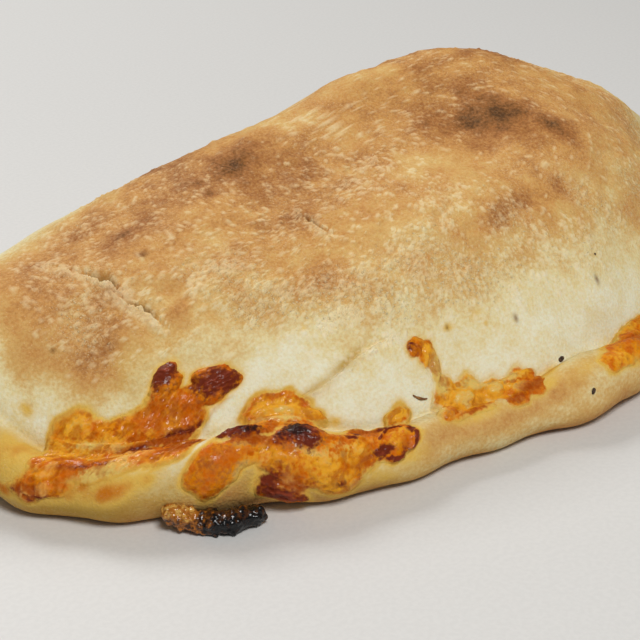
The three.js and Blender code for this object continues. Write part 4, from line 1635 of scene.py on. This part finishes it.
@frozen
class CrustSkin:
    """The crust's fine relief: lumps, roughness and crumples, and where its small blisters gather."""

    over_wall: Step = Step(14, 44)
    over_floor: Step = Step(8, 30)
    lumps: tuple[Cloud, ...] = (Cloud(0, 13, 0.85), Cloud(800, 6, 0.4))
    rough: Cloud = Cloud(300, 3.4, 0.24)
    rough_low: float = 0.25
    crumple: Cloud = Cloud(900, 8)
    crumple_width: float = 0.22
    crumple_rise: float = 0.42
    crumpled: Cloud = Cloud(950, 20)
    clusters: Cloud = Cloud(700, 16, 0.5)
    smoother: Step = Step(40, 70, 0.65)
    wall_share: float = 0.8

    def on_top(self, site: Site) -> Array:
        """How far each place lies on the upper crust, past the wall and clear of the floor."""
        return self.over_wall.at(site.v) * self.over_floor.at(site.point[..., 2])

    def relief(self, site: Site) -> Array:
        """Lumps, roughness and crumples.

        Args:
            site: The places.

        Returns:
            The height at each place, in millimetres.
        """
        smooth, z, top = site.point, site.point[:, 2], self.on_top(site)
        height = sum(cloud.at(smooth) for cloud in self.lumps) * top
        rough = self.rough_low + (1 - self.rough_low) * top
        height += self.rough.at(smooth) * rough * ease(0, 2, z)
        crumples = ridges(self.crumple.at(smooth), self.crumple_width)
        crumpled = ease(0.1, 0.7, self.crumpled.at(smooth) + 0.4)
        return height + self.crumple_rise * crumples * crumpled * top

    def density(self, site: Site) -> Array:
        """How densely small blisters lie at each place, from 0 to 1."""
        clusters = ease(0, 0.8, 0.5 + self.clusters.at(site.point))
        return self.on_top(site) * clusters * (1 - self.smoother.at(site.point[:, 2]))


@frozen
class Toasting:
    """How the oven browned the dough, from the pale wall to the hump, the rim and the folded back, with
    painted shade darkening the rim's underside.
    """

    least: float = 0.04
    wall: tuple[Step, ...] = (Step(6, 22, 0.08), Step(16, 46, 0.3))
    hump: Step = Step(40, 85, 0.14)
    uneven: tuple[Cloud, ...] = (Cloud(500, 17, 6), Cloud(540, 5, 3))
    rim: float = 0.18
    rim_clouds: tuple[Cloud, ...] = (Cloud(410, 14, 0.1), Cloud(440, 5, 0.08))
    # Darker toward the rim's foot and more so on the left: browning and painted shade on the rim's underside.
    rim_foot_toast_and_shade: Step = Step(-14, -32, 0.3)
    rim_left_toast_and_shade: tuple[Step, ...] = (Step(-110, -130, 0.14), Step(-14, -24))
    tip: Step = Step(-146, -158, 6)
    turned: Step = Step(5, 35)
    soft: float = 2.0
    soft_turned: float = 9.0
    fold: Cloud = Cloud(640, 20, 5)
    folded: float = 0.45
    folded_tip: tuple[Step, ...] = (Step(-125, -138, 0.32), Step(-4, -10))
    left_end: tuple[Step, ...] = (Step(-95, -135, 0.2), Step(10, 24))
    open_rim: Step = Step(4, 20, 0.1)
    open_wall: float = 0.06
    clouds: tuple[Cloud, ...] = (Cloud(90, 24, 0.09), Cloud(150, 8, 0.12))
    # Marks on the rim's browning; the low ones, at v -17 and -30, also darken the rim's underside as painted
    # shade.
    rim_marks: Marks = marks(
        (-122, -15, 12, 4, -0.14, 0.05), (-108, -9, 7, 5, -0.1), (-152, -12, 12, 8, 0.12),
        (-138, -17, 12, 4.5, 0.34), (-30, -8, 12, 4, 0.2, 0.1), (-38, -14, 13, 6, 0.3, 0.1),
        (-15, -12, 16, 5, 0.26, 0.1), (8, -10, 14, 5, 0.22, 0.1), (30, -14, 16, 5, 0.18, 0.1),
        (-158, -14, 12, 10, 0.12), (-40, -30, 60, 8, 0.12), (40, -30, 60, 8, 0.1),
    )

    def base(self, site: Site) -> Array:
        """The toast before the single marks on top.

        Args:
            site: The places.

        Returns:
            How toasted each place is.
        """
        u, v, smooth, sealed, (x, y, z) = site.u, site.v, site.point, site.sealed, site.axes
        uneven = v + sum(cloud.at(smooth) for cloud in self.uneven)
        toast = self.least + sum(step.at(uneven) for step in self.wall) + self.hump.at(v)
        rim = self.rim + sum(cloud.at(smooth) for cloud in self.rim_clouds)
        # Browning, with painted shade on the rim's underside.
        rim += self.rim_foot_toast_and_shade.at(v) + self.rim_left_toast_and_shade[0].at(u) * self.rim_left_toast_and_shade[1].at(v)
        for mark in self.rim_marks:
            rim = rim + mark.strength(u, v)
        turned = self.turned.at(y)
        soft = self.soft + self.tip.at(u) + self.soft_turned * turned
        below = ease(soft, -soft, v + turned * self.fold.at(smooth))
        folded = self.folded - self.folded_tip[0].at(x) * self.folded_tip[1].at(y)
        toast = below * (rim * sealed + folded * (1 - sealed)) + (1 - below) * toast
        toast += self.left_end[0].at(x) * self.left_end[1].at(v)
        return toast + (1 - sealed) * np.where(v < 0, self.open_rim.at(z), self.open_wall)


@dataclass
class Crust:
    """The dough as one dense mesh, flat underneath, which replaces its solid."""

    near_columns: int = 444
    far_columns: int = 76
    fold_columns: int = 200
    near_end: float = 60.0
    rim_rows: int = 42
    top_rows: int = 130
    halvings: tuple[float, ...] = (0.42, 0.7, 0.87)
    blisters: int = 4000
    blister_long: Pair = (0.45, 1.5)
    blister_wide: Pair = (0.45, 0.9)
    blister_rise: Pair = (0.2, 0.5)
    skin: CrustSkin = CrustSkin()
    toasting: Toasting = Toasting()
    splits: tuple[Crack, ...] = (
        Crack(
            ((-115, 19), (-111, 10), (-107.5, 1), (-104.8, -4.5), (-103.6, -9)),
            (0.6, 1.2, 3.6, 2.5, 0.8), (0.1, 0.6, 2.0, 2.3, 0.4), 0.7,
        ),
        Crack(
            ((-106.4, -6), (-104.6, -11), (-102.2, -16), (-101.4, -20), (-100.5, -24.5)),
            (0.6, 1.3, 2.4, 2.3, 0.7), (0.3, 1.5, 2.1, 1.6, 0.1), 0.6,
        ),
        Crack(((-41, -12), (-41, -18), (-39.6, -24.8)), (1.2, 3.0, 1.6), (0.6, 2.6, 0.8), 0.8, 0.4),
        Crack(
            ((-87, -20), (-83, -17.5), (-78, -17.5), (-75, -22)),
            (0.6, 1, 1, 0.6), (0.1, 0.5, 0.5, 0.1), 0.5, 0.5,
        ),
        Crack(((-61, -48.5), (-56, -48.8), (-52, -49.8)), (0.6, 0.8, 0.6), (0.2, 0.5, 0.2), 0.35, 0.6),
        Crack(
            ((-84, 7), (-79, 11), (-74, 15.5), (-70, 20), (-66, 23), (-60, 25.5), (-54, 26.5)),
            (1.2, 1.8, 2.6, 2.8, 2.4, 1.8, 1.2), (0.3, 0.8, 1.2, 1.3, 1.0, 0.7, 0.2), 0.8, 0.3, True,
        ),
    )
    fine_reach: float = 2.5
    fine_cuts: int = 2
    fine_from: float = 2.0
    toasted: Marks = marks(
        (44, -2, 13, 7, 0.14), (56, -9, 14, 9, 0.22, -0.8), (66, -25, 9, 7, 0.14, -1.2),
        (50, -12, 26, 17, 0.1, -0.5), (-43, 19, 14, 10, 0.2, 0.2), (-56, 14, 9, 5, 0.1),
        (-88, 12, 13, 5, 0.15, 0.2), (-92, 6, 14, 6, 0.14, 0.2), (-98, 22, 9, 6, 0.08),
        (-59, 9, 3, 2, 0.2, 0.4), (-90, 11, 1.6, 1.1, 0.1), (-91.5, -1, 1.6, 1, 0.25),
        (-93, -23, 4, 2.4, 0.1), (-44, -12, 11, 9, 0.14, 0.3), (-62, -16, 10, 7, 0.1),
        (-85, -25, 12, 6, 0.1, 0.2), (-49, -37, 14, 7, 0.17, -0.4), (-29, -8, 9, 8, 0.1),
        (7, -13, 9, 8, -0.12, 0.4), (13, -32, 9, 6, -0.08), (13.7, -44, 8, 3, 0.12, 0.1),
        (45, -41, 4, 6, 0.14, 0.2), (44, -52, 4, 3, 0.12), (-84, -27, 8, 7, -0.14),
        (-92.7, -22.8, 3, 2, 0.12), (-96.5, -33, 6, 4, -0.1), (-52, 42, 22, 7, 0.26),
        (44, 44, 34, 9, 0.22, -0.1), (80, 26, 14, 10, 0.2, -0.4), (18, -43, 18, 5, 0.2, 0.05),
        (46, -43, 13, 6, 0.04), (76, -52, 12, 10, 0.18), (-137, -1, 13, 15, 0.22),
        (-139.3, -12.7, 1.8, 1.4, 0.45), (-117, -21, 12, 6, 0.16, 0.6), (-141, -7, 7, 6, 0.28, 0.8),
        (-122, 20, 18, 13, 0.2), (-96, 24, 16, 10, 0.12, 0.3), (-106, -8, 8, 6, 0.1),
        (-60, 30, 22, 10, 0.12, 0.3), (-30, 20, 18, 16, 0.08), (-60, -42, 14, 7, 0.12, -0.3),
        (-18, -38, 14, 6, -0.08), (-121, -16, 9, 5, 0.16, 0.4), (110, -20, 20, 20, 0.1),
        (14, -18, 15, 13, -0.1), (-72, -46, 26, 6, -0.06, 0.1),
    )
    stained: Marks = marks(
        (-29, 24, 2.6, 1.6, 0.5, 0.2), (-16, 26, 4, 2, 0.3, 0.2), (-165, 7, 2.4, 1.4, 0.6),
        (-128.5, -17.2, 14, 3.8, 0.95, 0.04), (-141, -17.5, 8, 3, 0.9), (-137, -14.5, 8, 4.4, 0.95),
        (-159, -8, 9, 9, 0.75, 0.1), (-160, -17.5, 9, 2.6), (-162, -13, 8, 6, 0.5),
        # (2, -2) paints the olive shade where the crease ends past the right cheese.
        (-28, -8, 10, 3.4, 0.6, 0.1), (-4, -6.5, 7, 3, 0.6, 0.1), (2, -2, 7, 3, 0.8, 0.1),
        (12, -10, 12, 4, 0.28, 0.1), (-62, -21, 16, 5, 0.42), (-50, -16, 6, 3.5, 0.55),
        # (-80, 10) runs along the flap's fold line and paints part of its shade.
        (-74, 2.6, 4, 2.2, 0.5), (-80, 10, 9, 2.5, 0.22, 0.4), (-12.8, 22.5, 1.2, 0.9, 0.5),
        (-88, 29, 1.4, 1.2, 0.5),
    )
    oil: Step = Step(0, 0.8, 0.3)
    oil_cloud: Cloud = Cloud(210, 26)
    stain_cloud: Cloud = Cloud(30, 3, 0.4)
    seam_reach: float = 45.0
    halo_reach: float = 0.8
    soak: float = 0.06
    soak_reach: float = 4.0
    # How pale the tears' lips are painted: flour and painted highlight.
    pale_lit_lip: float = 1.6
    # Oil marks; those low on the rim, at v -22 to -28, and the two along the flap's fold line paint olive
    # shade.
    oiled: Marks = marks(
        (-136, -22, 26, 8, 0.85), (-156, -10, 8, 6, 0.6), (-71, 20.5, 8, 1.7, 0.85, 0.75),
        (-79, 12, 8, 1.5, 0.6, 0.75), (-112, -24, 12, 7, 0.6), (-88, -27, 6, 7, 0.6),
        (-159, -5, 12, 2.8, 0.85), (-60, -28, 34, 5, 0.3),
    )
    dotted: Marks = marks(
        (-91, -1.5, 1, 1, 0.8), (-128, -9, 0.6, 0.6, 0.8), (0, -66.5, 0.8, 0.8, 0.8),
        (38.5, -65, 0.9, 0.9, 0.8), (-24, -61.5, 0.5, 0.5, 0.8),
    )

    def angles(self) -> Array:
        """Spreads the mesh's columns round the crust.

        Returns:
            The columns' angles: close together where the seam shows most.
        """
        first, last = FORM.crease_distances[0], FORM.crease_distances[-1]
        near = FORM.angle(np.linspace(first, self.near_end, self.near_columns, endpoint=False))
        far = FORM.angle(np.linspace(self.near_end, last, self.far_columns))
        gap = near[0] + 2 * math.pi - far[-1]
        fold = far[-1] + gap * np.arange(1, self.fold_columns + 1) / (self.fold_columns + 1)
        return np.concatenate([near, far, fold])

    def rings(self) -> list[tuple[Array, Array, Array]]:
        """The mesh's rings from the resting edge to the middle.

        Returns:
            For each ring its angles, shares and lengths from the crease.
        """
        theta = self.angles()
        shares, lengths = FORM.profiles(theta)
        rings = []
        for row in range(self.rim_rows + 1):
            s = np.full(len(theta), FORM.rim_share * row / self.rim_rows)
            rings.append((theta, s, np.array([np.interp(s[0], shares, line) for line in lengths])))
        for row in range(1, self.top_rows):
            share = row / self.top_rows
            pick = slice(None, None, 2 ** sum(share >= level for level in self.halvings))
            v = lengths[pick, -1] * share
            s = np.array([np.interp(a, line, shares) for a, line in zip(v, lengths[pick])])
            rings.append((theta[pick], s, v))
        return rings

    @staticmethod
    def faces(counts: list[int]) -> list:
        """Joins the rings, of which each has as many or half as many points as the one before.

        Args:
            counts: How many points each ring has.

        Returns:
            The faces, the middle's and the underside's last, with the two middle points after the rings.
        """
        starts = np.cumsum([0] + counts).tolist()
        faces: list = []
        for a, b, n, m in zip(starts, starts[1:], counts, counts[1:]):
            if n == m:
                faces += [[a + i, a + (i + 1) % n, b + (i + 1) % n, b + i] for i in range(n)]
                continue
            for i in range(m):
                first, second, third = a + 2 * i, a + 2 * i + 1, a + (2 * i + 2) % n
                near, far = b + i, b + (i + 1) % m
                faces += [[first, second, near], [second, far, near], [second, third, far]]
        last, crown, n = starts[-2], starts[-1], counts[-1]
        faces += [[last + i, last + (i + 1) % n, crown] for i in range(n)]
        return faces + [[(i + 1) % counts[0], i, crown + 1] for i in range(counts[0])]

    def refined(self, theta: Array, s: Array, v: Array, faces: list) -> tuple[Array, Array, Array, list]:
        """Divides the mesh more finely along the splits.

        Args:
            theta: The vertices' angles.
            s: Their shares.
            v: Their distances from the crease.
            faces: The faces.

        Returns:
            The angles, shares, distances and faces of the divided mesh, old vertices first.
        """
        site = FORM.site(FORM.along(theta), v, theta, s)
        near = np.zeros(len(theta), bool)
        for crack in self.splits:
            away = crack.measure(crack.places(site))[0]
            near |= (np.abs(away) < self.fine_reach) & (v > self.fine_from)
        builder = bmesh.new()
        names = ("cosine", "sine", "share", "across")
        layers = [builder.verts.layers.float.new(name) for name in names]
        rows = np.stack([np.cos(theta), np.sin(theta), s, v], -1).tolist()
        corners = []
        for place, row in zip(site.point.tolist(), rows):
            corner = builder.verts.new(place)
            for layer, value in zip(layers, row):
                corner[layer] = value
            corners.append(corner)
        for face in faces:
            builder.faces.new([corners[i] for i in face])
        builder.verts.index_update()
        chosen = [e for e in builder.edges if near[e.verts[0].index] and near[e.verts[1].index]]
        bmesh.ops.subdivide_edges(builder, edges=chosen, cuts=self.fine_cuts, use_grid_fill=True)
        builder.verts.index_update()
        kept = np.array([[corner[layer] for layer in layers] for corner in builder.verts])
        divided = [[corner.index for corner in face.verts] for face in builder.faces]
        builder.free()
        return np.arctan2(kept[:, 1], kept[:, 0]), kept[:, 2], kept[:, 3], divided

    def raise_blisters(self, point: Array, normal: Array, density: Array) -> tuple[Array, Array]:
        """Raises scattered blisters.

        Args:
            point: The vertices.
            normal: Their normals.
            density: How many blisters each place has, from 0 to 1.

        Returns:
            The heights and a mask of the blisters' tops.
        """
        rng = np.random.default_rng(SEED)
        height, mask = np.zeros(len(point)), np.zeros(len(point))
        tree = KDTree(len(point))
        for i, co in enumerate(point.tolist()):
            tree.insert(co, i)
        tree.balance()
        spread = np.cumsum(density / density.sum())
        for middle in np.searchsorted(spread, rng.random(self.blisters)):
            long = rng.uniform(*self.blister_long)
            wide = long * rng.uniform(*self.blister_wide)
            rise = rng.uniform(*self.blister_rise)
            near = tree.find_range(Vector(point[middle]), long * 1.2)
            index = np.array([item[1] for item in near])
            off = point[index] - point[middle]
            along = np.cross(normal[middle], [math.cos(a := rng.uniform(0, math.pi)), math.sin(a), 0.1])
            along /= np.linalg.norm(along)
            across = np.cross(normal[middle], along)
            r = np.hypot(off @ along / long, off @ across / wide)
            height[index] = np.maximum(height[index], rise * ease(1, 0.2, r))
            mask[index] = np.maximum(mask[index], rng.uniform(0.45, 1) * ease(1, 0.5, r))
        return height, mask

    def tones(self, site: Site) -> dict[str, Array]:
        """How toasted, oiled and stained the dough is, with painted shade in some of the toast and oil tone.

        Args:
            site: The places.

        Returns:
            The values by the attribute's name.
        """
        u, v, smooth, (x, y, _) = site.u, site.v, site.point, site.axes
        toast = self.toasting.base(site)
        for mark in self.toasted:
            toast += mark.strength(x, y) * ease(0, 20, v)
        toast += sum(cloud.at(smooth) for cloud in self.toasting.clouds) * self.skin.on_top(site)
        # Oil over the wall, and oil-toned marks, some of them painted olive shade.
        oiled = self.oil.at(self.oil_cloud.at(smooth)) * ease(45, 20, v)
        oiled = np.maximum(oiled, strongest(self.oiled, u, v))
        near_seam = (np.abs(v) < self.seam_reach) * ease(0, 0.25, site.sealed)
        stain = strongest(self.stained, u, v)
        for patch in PATCHES:
            away = patch.outside(u, v)
            halo = patch.halo * np.exp(-away / self.halo_reach)
            stain = np.maximum(stain, halo + self.soak * np.exp(-away / self.soak_reach))
        stain *= near_seam * (0.8 + self.stain_cloud.at(smooth))
        return {"toast": toast, "oiled": oiled * near_seam, "stain": np.clip(stain, 0, 1)}

    def build(self, finish: CrustFinish) -> Object:
        """Makes the crust.

        Args:
            finish: The crust's finish.

        Returns:
            The new object.
        """
        rings = self.rings()
        counts = [len(ring[0]) for ring in rings]
        base = sum(counts) + 1
        theta, s, v = (np.concatenate([*row, [row[-1][0], row[0][0]]]) for row in zip(*rings))
        s[-2] = 1.0
        theta, s, v, faces = self.refined(theta, s, v, self.faces(counts))
        site = FORM.site(FORM.along(theta), v, theta, s)
        normal = FORM.normal(theta, s)
        wall = v > 0
        height = FORM.relief(site) + self.skin.relief(site)
        crack, lip = np.zeros(len(v)), np.zeros(len(v))
        for split in self.splits:
            move, dark, pale = split.split(split.places(site))
            height += move * wall
            crack = np.maximum(crack, dark * wall)
            lip = np.maximum(lip, pale * wall)
        density = self.skin.density(site) * (1 - crack)
        area = 1 + self.skin.wall_share * (site.sealed < 0.5)
        raised, blister = self.raise_blisters(site.point, normal, density * area)
        point = site.point + normal * (height + raised)[:, None]
        point[base] = 0
        # crack carries the painted shade inside the tears; blister also carries the lips' painted highlight.
        values = self.tones(site) | {"blistered": density, "crack": crack**2}
        values["blister"] = np.maximum(blister, self.pale_lit_lip * lip)
        values["char"] = strongest(self.dotted, *site.axes[:2]) * wall
        piece = make_piece("crust", point, faces, finish, values)
        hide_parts("dough")
        return piece


@frozen
class Bubble:
    """A bubble of the drip: its place along the rim, how far out it stands, its height and radius."""

    u: float
    out: float
    z: float
    radius: float


@dataclass
class BurntDrip:
    """The black, bubbled drip that hangs from the rim, which replaces its solid."""

    bubbles: tuple[Bubble, ...] = rows(
        Bubble, (-111.5, -0.4, 5.2, 3.2), (-107.5, 0.6, 4, 3.6), (-103, 1.8, 2.8, 3.6),
        (-98, 3.6, 2.8, 3.9), (-93, 3.8, 2.8, 3.9), (-88.5, 1.8, 3, 3.2), (-99.5, 1.4, 3.6, 3),
        (-91.5, 1.6, 3.4, 3),
    )
    small: int = 230
    small_radius: Pair = (0.45, 1.25)
    sunk: float = 0.3
    lifted: float = 0.8
    touching: float = 8.0
    links: Pair = (0.33, 0.67)
    link_share: float = 0.9
    voxel: float = 0.3
    trim: float = 0.25
    rough: Cloud = Cloud(0, 1.4, 0.16)
    spared_cloud: Cloud = Cloud(9, 3, 1.2)
    spared_left: Step = Step(11, 6, 0.75)
    spared_top: Step = Step(4, 7, 0.4)

    def spheres(self) -> list[tuple[Array, float]]:
        """Places the bubbles: the large ones, joined up, with small ones on them.

        Returns:
            Their middles and radii.
        """
        rng = np.random.default_rng(SEED + 7)
        large = []
        for bubble in self.bubbles:
            theta = FORM.angle(np.array([bubble.u]))
            edge = FORM.smooth(theta, np.array([FORM.rim_middle]))[0]
            scale = 1 + bubble.out / math.hypot(edge[0], edge[1])
            large.append((np.array([edge[0] * scale, edge[1] * scale, bubble.z]), bubble.radius - self.trim))
        spheres = list(large)
        for (first, first_radius), (second, second_radius) in zip(large, large[1:]):
            if np.linalg.norm(second - first) < self.touching:
                for share in self.links:
                    radius = self.link_share * (first_radius * (1 - share) + second_radius * share)
                    spheres.append((first * (1 - share) + second * share, radius))
        for _ in range(self.small):
            middle, radius = spheres[rng.integers(len(large) * 2)]
            way = rng.normal(size=3)
            way[1] = -abs(way[1])
            way /= np.linalg.norm(way)
            small = rng.uniform(*self.small_radius)
            place = middle + way * (radius - self.sunk * small)
            place[2] = max(place[2], self.lifted * small)
            spheres.append((place, small))
        return spheres

    def build(self, finish: BurntFinish) -> Object:
        """Makes the drip.

        Args:
            finish: The burnt cheese's finish.

        Returns:
            The new object.
        """
        unit = bpy.data.meshes.new("bubble_unit")
        points: list[Array] = []
        faces: list = []
        ball = icosphere(2)
        for middle, radius in self.spheres():
            start = sum(len(p) for p in points)
            points.append(ball[0] * radius + middle)
            faces += (ball[1] + start).tolist()
        unit.from_pydata((np.concatenate(points) * MM).tolist(), [], faces)
        rough = placed("bubble_unit", unit)
        remesh = rough.modifiers.new("remesh", "REMESH")
        remesh.mode = "VOXEL"
        remesh.voxel_size = self.voxel * MM
        graph = bpy.context.evaluated_depsgraph_get()
        mesh = bpy.data.meshes.new_from_object(rough.evaluated_get(graph))
        joined = np.array([vertex.co for vertex in mesh.vertices]) / MM
        quads = [list(polygon.vertices) for polygon in mesh.polygons]
        ways = np.array([vertex.normal for vertex in mesh.vertices])
        bpy.data.objects.remove(rough)
        bpy.data.meshes.remove(unit)
        bpy.data.meshes.remove(mesh)
        noise = Noise(SEED + 8)
        joined += ways * self.rough.at(joined, noise)[:, None]
        joined[:, 2] = np.maximum(joined[:, 2], 0)
        left = joined[:, 0] - joined[:, 0].min() + self.spared_cloud.at(joined, noise)
        spared = self.spared_left.at(left) + self.spared_top.at(joined[:, 2])
        piece = make_piece("burnt_drip_baked", joined, quads, finish, {"spared": spared})
        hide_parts("burnt_drip")
        return piece


def icosphere(detail: int) -> tuple[Array, Array]:
    """A ball of radius 1.

    Args:
        detail: How often its faces are divided.

    Returns:
        Its points and its triangles.
    """
    ball = bpy.data.meshes.new("ball")
    builder = bmesh.new()
    bmesh.ops.create_icosphere(builder, subdivisions=detail, radius=1)
    builder.to_mesh(ball)
    builder.free()
    points = np.array([vertex.co for vertex in ball.vertices])
    triangles = np.array([list(polygon.vertices) for polygon in ball.polygons])
    bpy.data.meshes.remove(ball)
    return points, triangles


@frozen
class Topping:
    """A small topping half sunk into the crust, in seam coordinates."""

    u: float
    v: float
    half: tuple[float, float, float]
    turn: float


def topping_frame(topping: Topping) -> tuple[Array, Array]:
    """Finds a topping's place on the crust.

    Args:
        topping: The topping.

    Returns:
        Its middle and its own three axes.
    """
    u, v = topping.u, topping.v
    middle = FORM.seam(np.array([u]), np.array([[v]]))[0, 0]
    along = np.diff(FORM.seam(np.array([u - 1, u + 1]), np.array([[v], [v]])), axis=0)[0, 0]
    across = np.diff(FORM.seam(np.array([u]), np.array([[v - 1, v + 1]])), axis=1)[0, 0]
    along /= np.linalg.norm(along)
    normal = np.cross(along, across)
    normal /= np.linalg.norm(normal)
    side = np.cross(normal, along)
    c, s = math.cos(topping.turn), math.sin(topping.turn)
    return middle, np.stack([c * along + s * side, c * side - s * along, normal])


@dataclass
class Herb:
    """One dried herb stalk on the wall."""

    topping: Topping = Topping(-44.5, 5.4, (2.7, 0.42, 0.42), -0.5)
    rings: int = 22
    sides: int = 10
    ribs: int = 5
    rib: float = 0.12
    bent: float = 0.5
    lifted: float = 0.25
    least: float = 0.02

    def build(self, finish: HerbFinish) -> Object:
        """Makes the stalk as a bent, ribbed tube with closed ends.

        Args:
            finish: The herb's finish.

        Returns:
            The new object.
        """
        middle, axes = topping_frame(self.topping)
        long, wide, _ = self.topping.half
        t = np.linspace(-1, 1, self.rings)
        angle = 2 * math.pi * np.arange(self.sides) / self.sides
        radius = wide * (1 - np.abs(t) ** 5) ** 0.5 * (0.8 + 0.2 * np.cos(5 * t)) + self.least
        ribs = 1 + self.rib * np.cos(self.ribs * angle)
        local = np.zeros((self.rings, self.sides, 3))
        local[..., 0] = (long * t)[:, None]
        local[..., 1] = radius[:, None] * np.cos(angle) * ribs + (self.bent * t**2)[:, None]
        local[..., 2] = radius[:, None] * np.sin(angle) * ribs + self.lifted
        points = middle + local.reshape(-1, 3) @ axes
        n = self.sides
        faces = [
            [r * n + i, r * n + (i + 1) % n, (r + 1) * n + (i + 1) % n, (r + 1) * n + i]
            for r in range(self.rings - 1)
            for i in range(n)
        ]
        faces += [list(range(n))[::-1], list(range((self.rings - 1) * n, self.rings * n))]
        piece = make_piece("herb_stalk", points, faces, finish)
        return piece


@dataclass
class Specks:
    """Burnt crumbs baked onto the crust: two large ones and some finer ones."""

    toppings: tuple[Topping, ...] = (
        Topping(11, 1, (1.1, 0.7, 0.8), 0.3),
        Topping(7.4, -17.8, (1.0, 0.6, 0.7), 0.6),
        Topping(52, 30, (0.5, 0.4, 0.3), 0.3),
        Topping(88, -8, (0.6, 0.5, 0.4), 0.9),
        Topping(110, 22, (0.5, 0.5, 0.3), 0.1),
    )
    uneven: float = 0.28
    lump: float = 0.7

    def build(self, finish: SpeckFinish) -> Object:
        """Makes the crumbs, each an uneven lump.

        Args:
            finish: The crumbs' finish.

        Returns:
            The new object.
        """
        ball, triangles = icosphere(3)
        noise = Noise(SEED + 9)
        points, faces = [], []
        for number, topping in enumerate(self.toppings):
            middle, axes = topping_frame(topping)
            uneven = 1 + self.uneven * noise.layered(ball + 5 * number, self.lump)
            local = ball * uneven[:, None] * np.array(topping.half)
            faces += (triangles + len(ball) * number).tolist()
            points.append(middle + local @ axes)
        piece = make_piece("burnt_specks", np.concatenate(points), faces, finish)
        return piece


@frozen
class Lamp:
    """A square soft light: its direction in degrees, distance and side in metres, and power in watts."""

    name: str
    azimuth: float
    elevation: float
    away: float
    side: float
    power: float


@dataclass
class Studio:
    """A plain pale floor, soft lights and the camera."""

    target: tuple[float, float, float] = (-27.7, -6.7, 17.0)
    azimuth: float = -40.0
    elevation: float = 25.5
    distance: float = 520.7
    focal_pixels: float = 1600.0
    frame_pixels: float = 640.0
    sensor: float = 36.0
    clip: Pair = (0.02, 20)
    floor_half: float = 3.0
    floor_drop: float = 0.0002
    lamps: tuple[Lamp, ...] = (Lamp("key", 172, 46, 1.6, 0.6, 12.5), Lamp("fill", -20, 56, 1.7, 0.55, 18))
    room_light: float = 0.16

    @staticmethod
    def direction(azimuth: float, elevation: float) -> Vector:
        """The way from the part to a place round it, from two angles in degrees."""
        a, e = math.radians(azimuth), math.radians(elevation)
        return Vector((math.sin(a) * math.cos(e), -math.cos(a) * math.cos(e), math.sin(e)))

    def camera(self) -> None:
        """Makes the camera."""
        target = Vector(PLACE.metres(np.array(self.target)))
        back = self.direction(self.azimuth, self.elevation)
        data = bpy.data.cameras.new("camera")
        data.sensor_width = self.sensor
        data.lens = self.focal_pixels / self.frame_pixels * self.sensor
        data.clip_start, data.clip_end = self.clip
        camera = placed("camera", data)
        camera.location = target + back * self.distance * MM
        camera.rotation_mode = "QUATERNION"
        camera.rotation_quaternion = (-back).to_track_quat("-Z", "Y")
        bpy.context.scene.camera = camera

    def light(self, lamp: Lamp) -> None:
        """Makes a light that faces the part.

        Args:
            lamp: The light's name, place, size and power.
        """
        data = bpy.data.lights.new(lamp.name, "AREA")
        data.energy, data.size = lamp.power, lamp.side
        light = placed(lamp.name, data)
        way = self.direction(lamp.azimuth, lamp.elevation)
        light.location = way * lamp.away
        light.rotation_mode = "QUATERNION"
        light.rotation_quaternion = way.to_track_quat("Z", "Y")

    def floor(self, finish: FloorFinish) -> None:
        """Makes the floor, just under the part.

        Args:
            finish: The floor's finish.
        """
        half = self.floor_half
        mesh = bpy.data.meshes.new("floor")
        corners = [(-half, -half, 0), (half, -half, 0), (half, half, 0), (-half, half, 0)]
        mesh.from_pydata(corners, [], [[0, 1, 2, 3]])
        mesh.materials.append(finish.material)
        floor = placed("floor", mesh)
        floor.location.z = -self.floor_drop

    def build(self, finish: FloorFinish) -> None:
        """Makes the floor, the lights, the room's light and the camera.

        Args:
            finish: The floor's finish.
        """
        self.floor(finish)
        for lamp in self.lamps:
            self.light(lamp)
        world = bpy.data.worlds.new("studio")
        world.use_nodes = True
        background = world.node_tree.nodes["Background"]
        background.inputs["Color"].default_value = (1.0, 1.0, 1.0, 1)
        background.inputs["Strength"].default_value = self.room_light
        bpy.context.scene.world = world
        bpy.context.scene.view_settings.view_transform = "Standard"
        self.camera()


def main() -> None:
    """Builds the pieces in order."""
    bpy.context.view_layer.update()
    effects = Effects()
    crust = Crust()
    crust.build(CrustFinish(effects))
    cheese = CheeseFinish(effects)
    for patch in PATCHES:
        patch.build(cheese, crust)
    BurntDrip().build(BurntFinish(effects))
    Herb().build(HerbFinish(effects))
    Specks().build(SpeckFinish(effects))
    Studio().build(FloorFinish(effects))


if __name__ == "__main__":
    main()
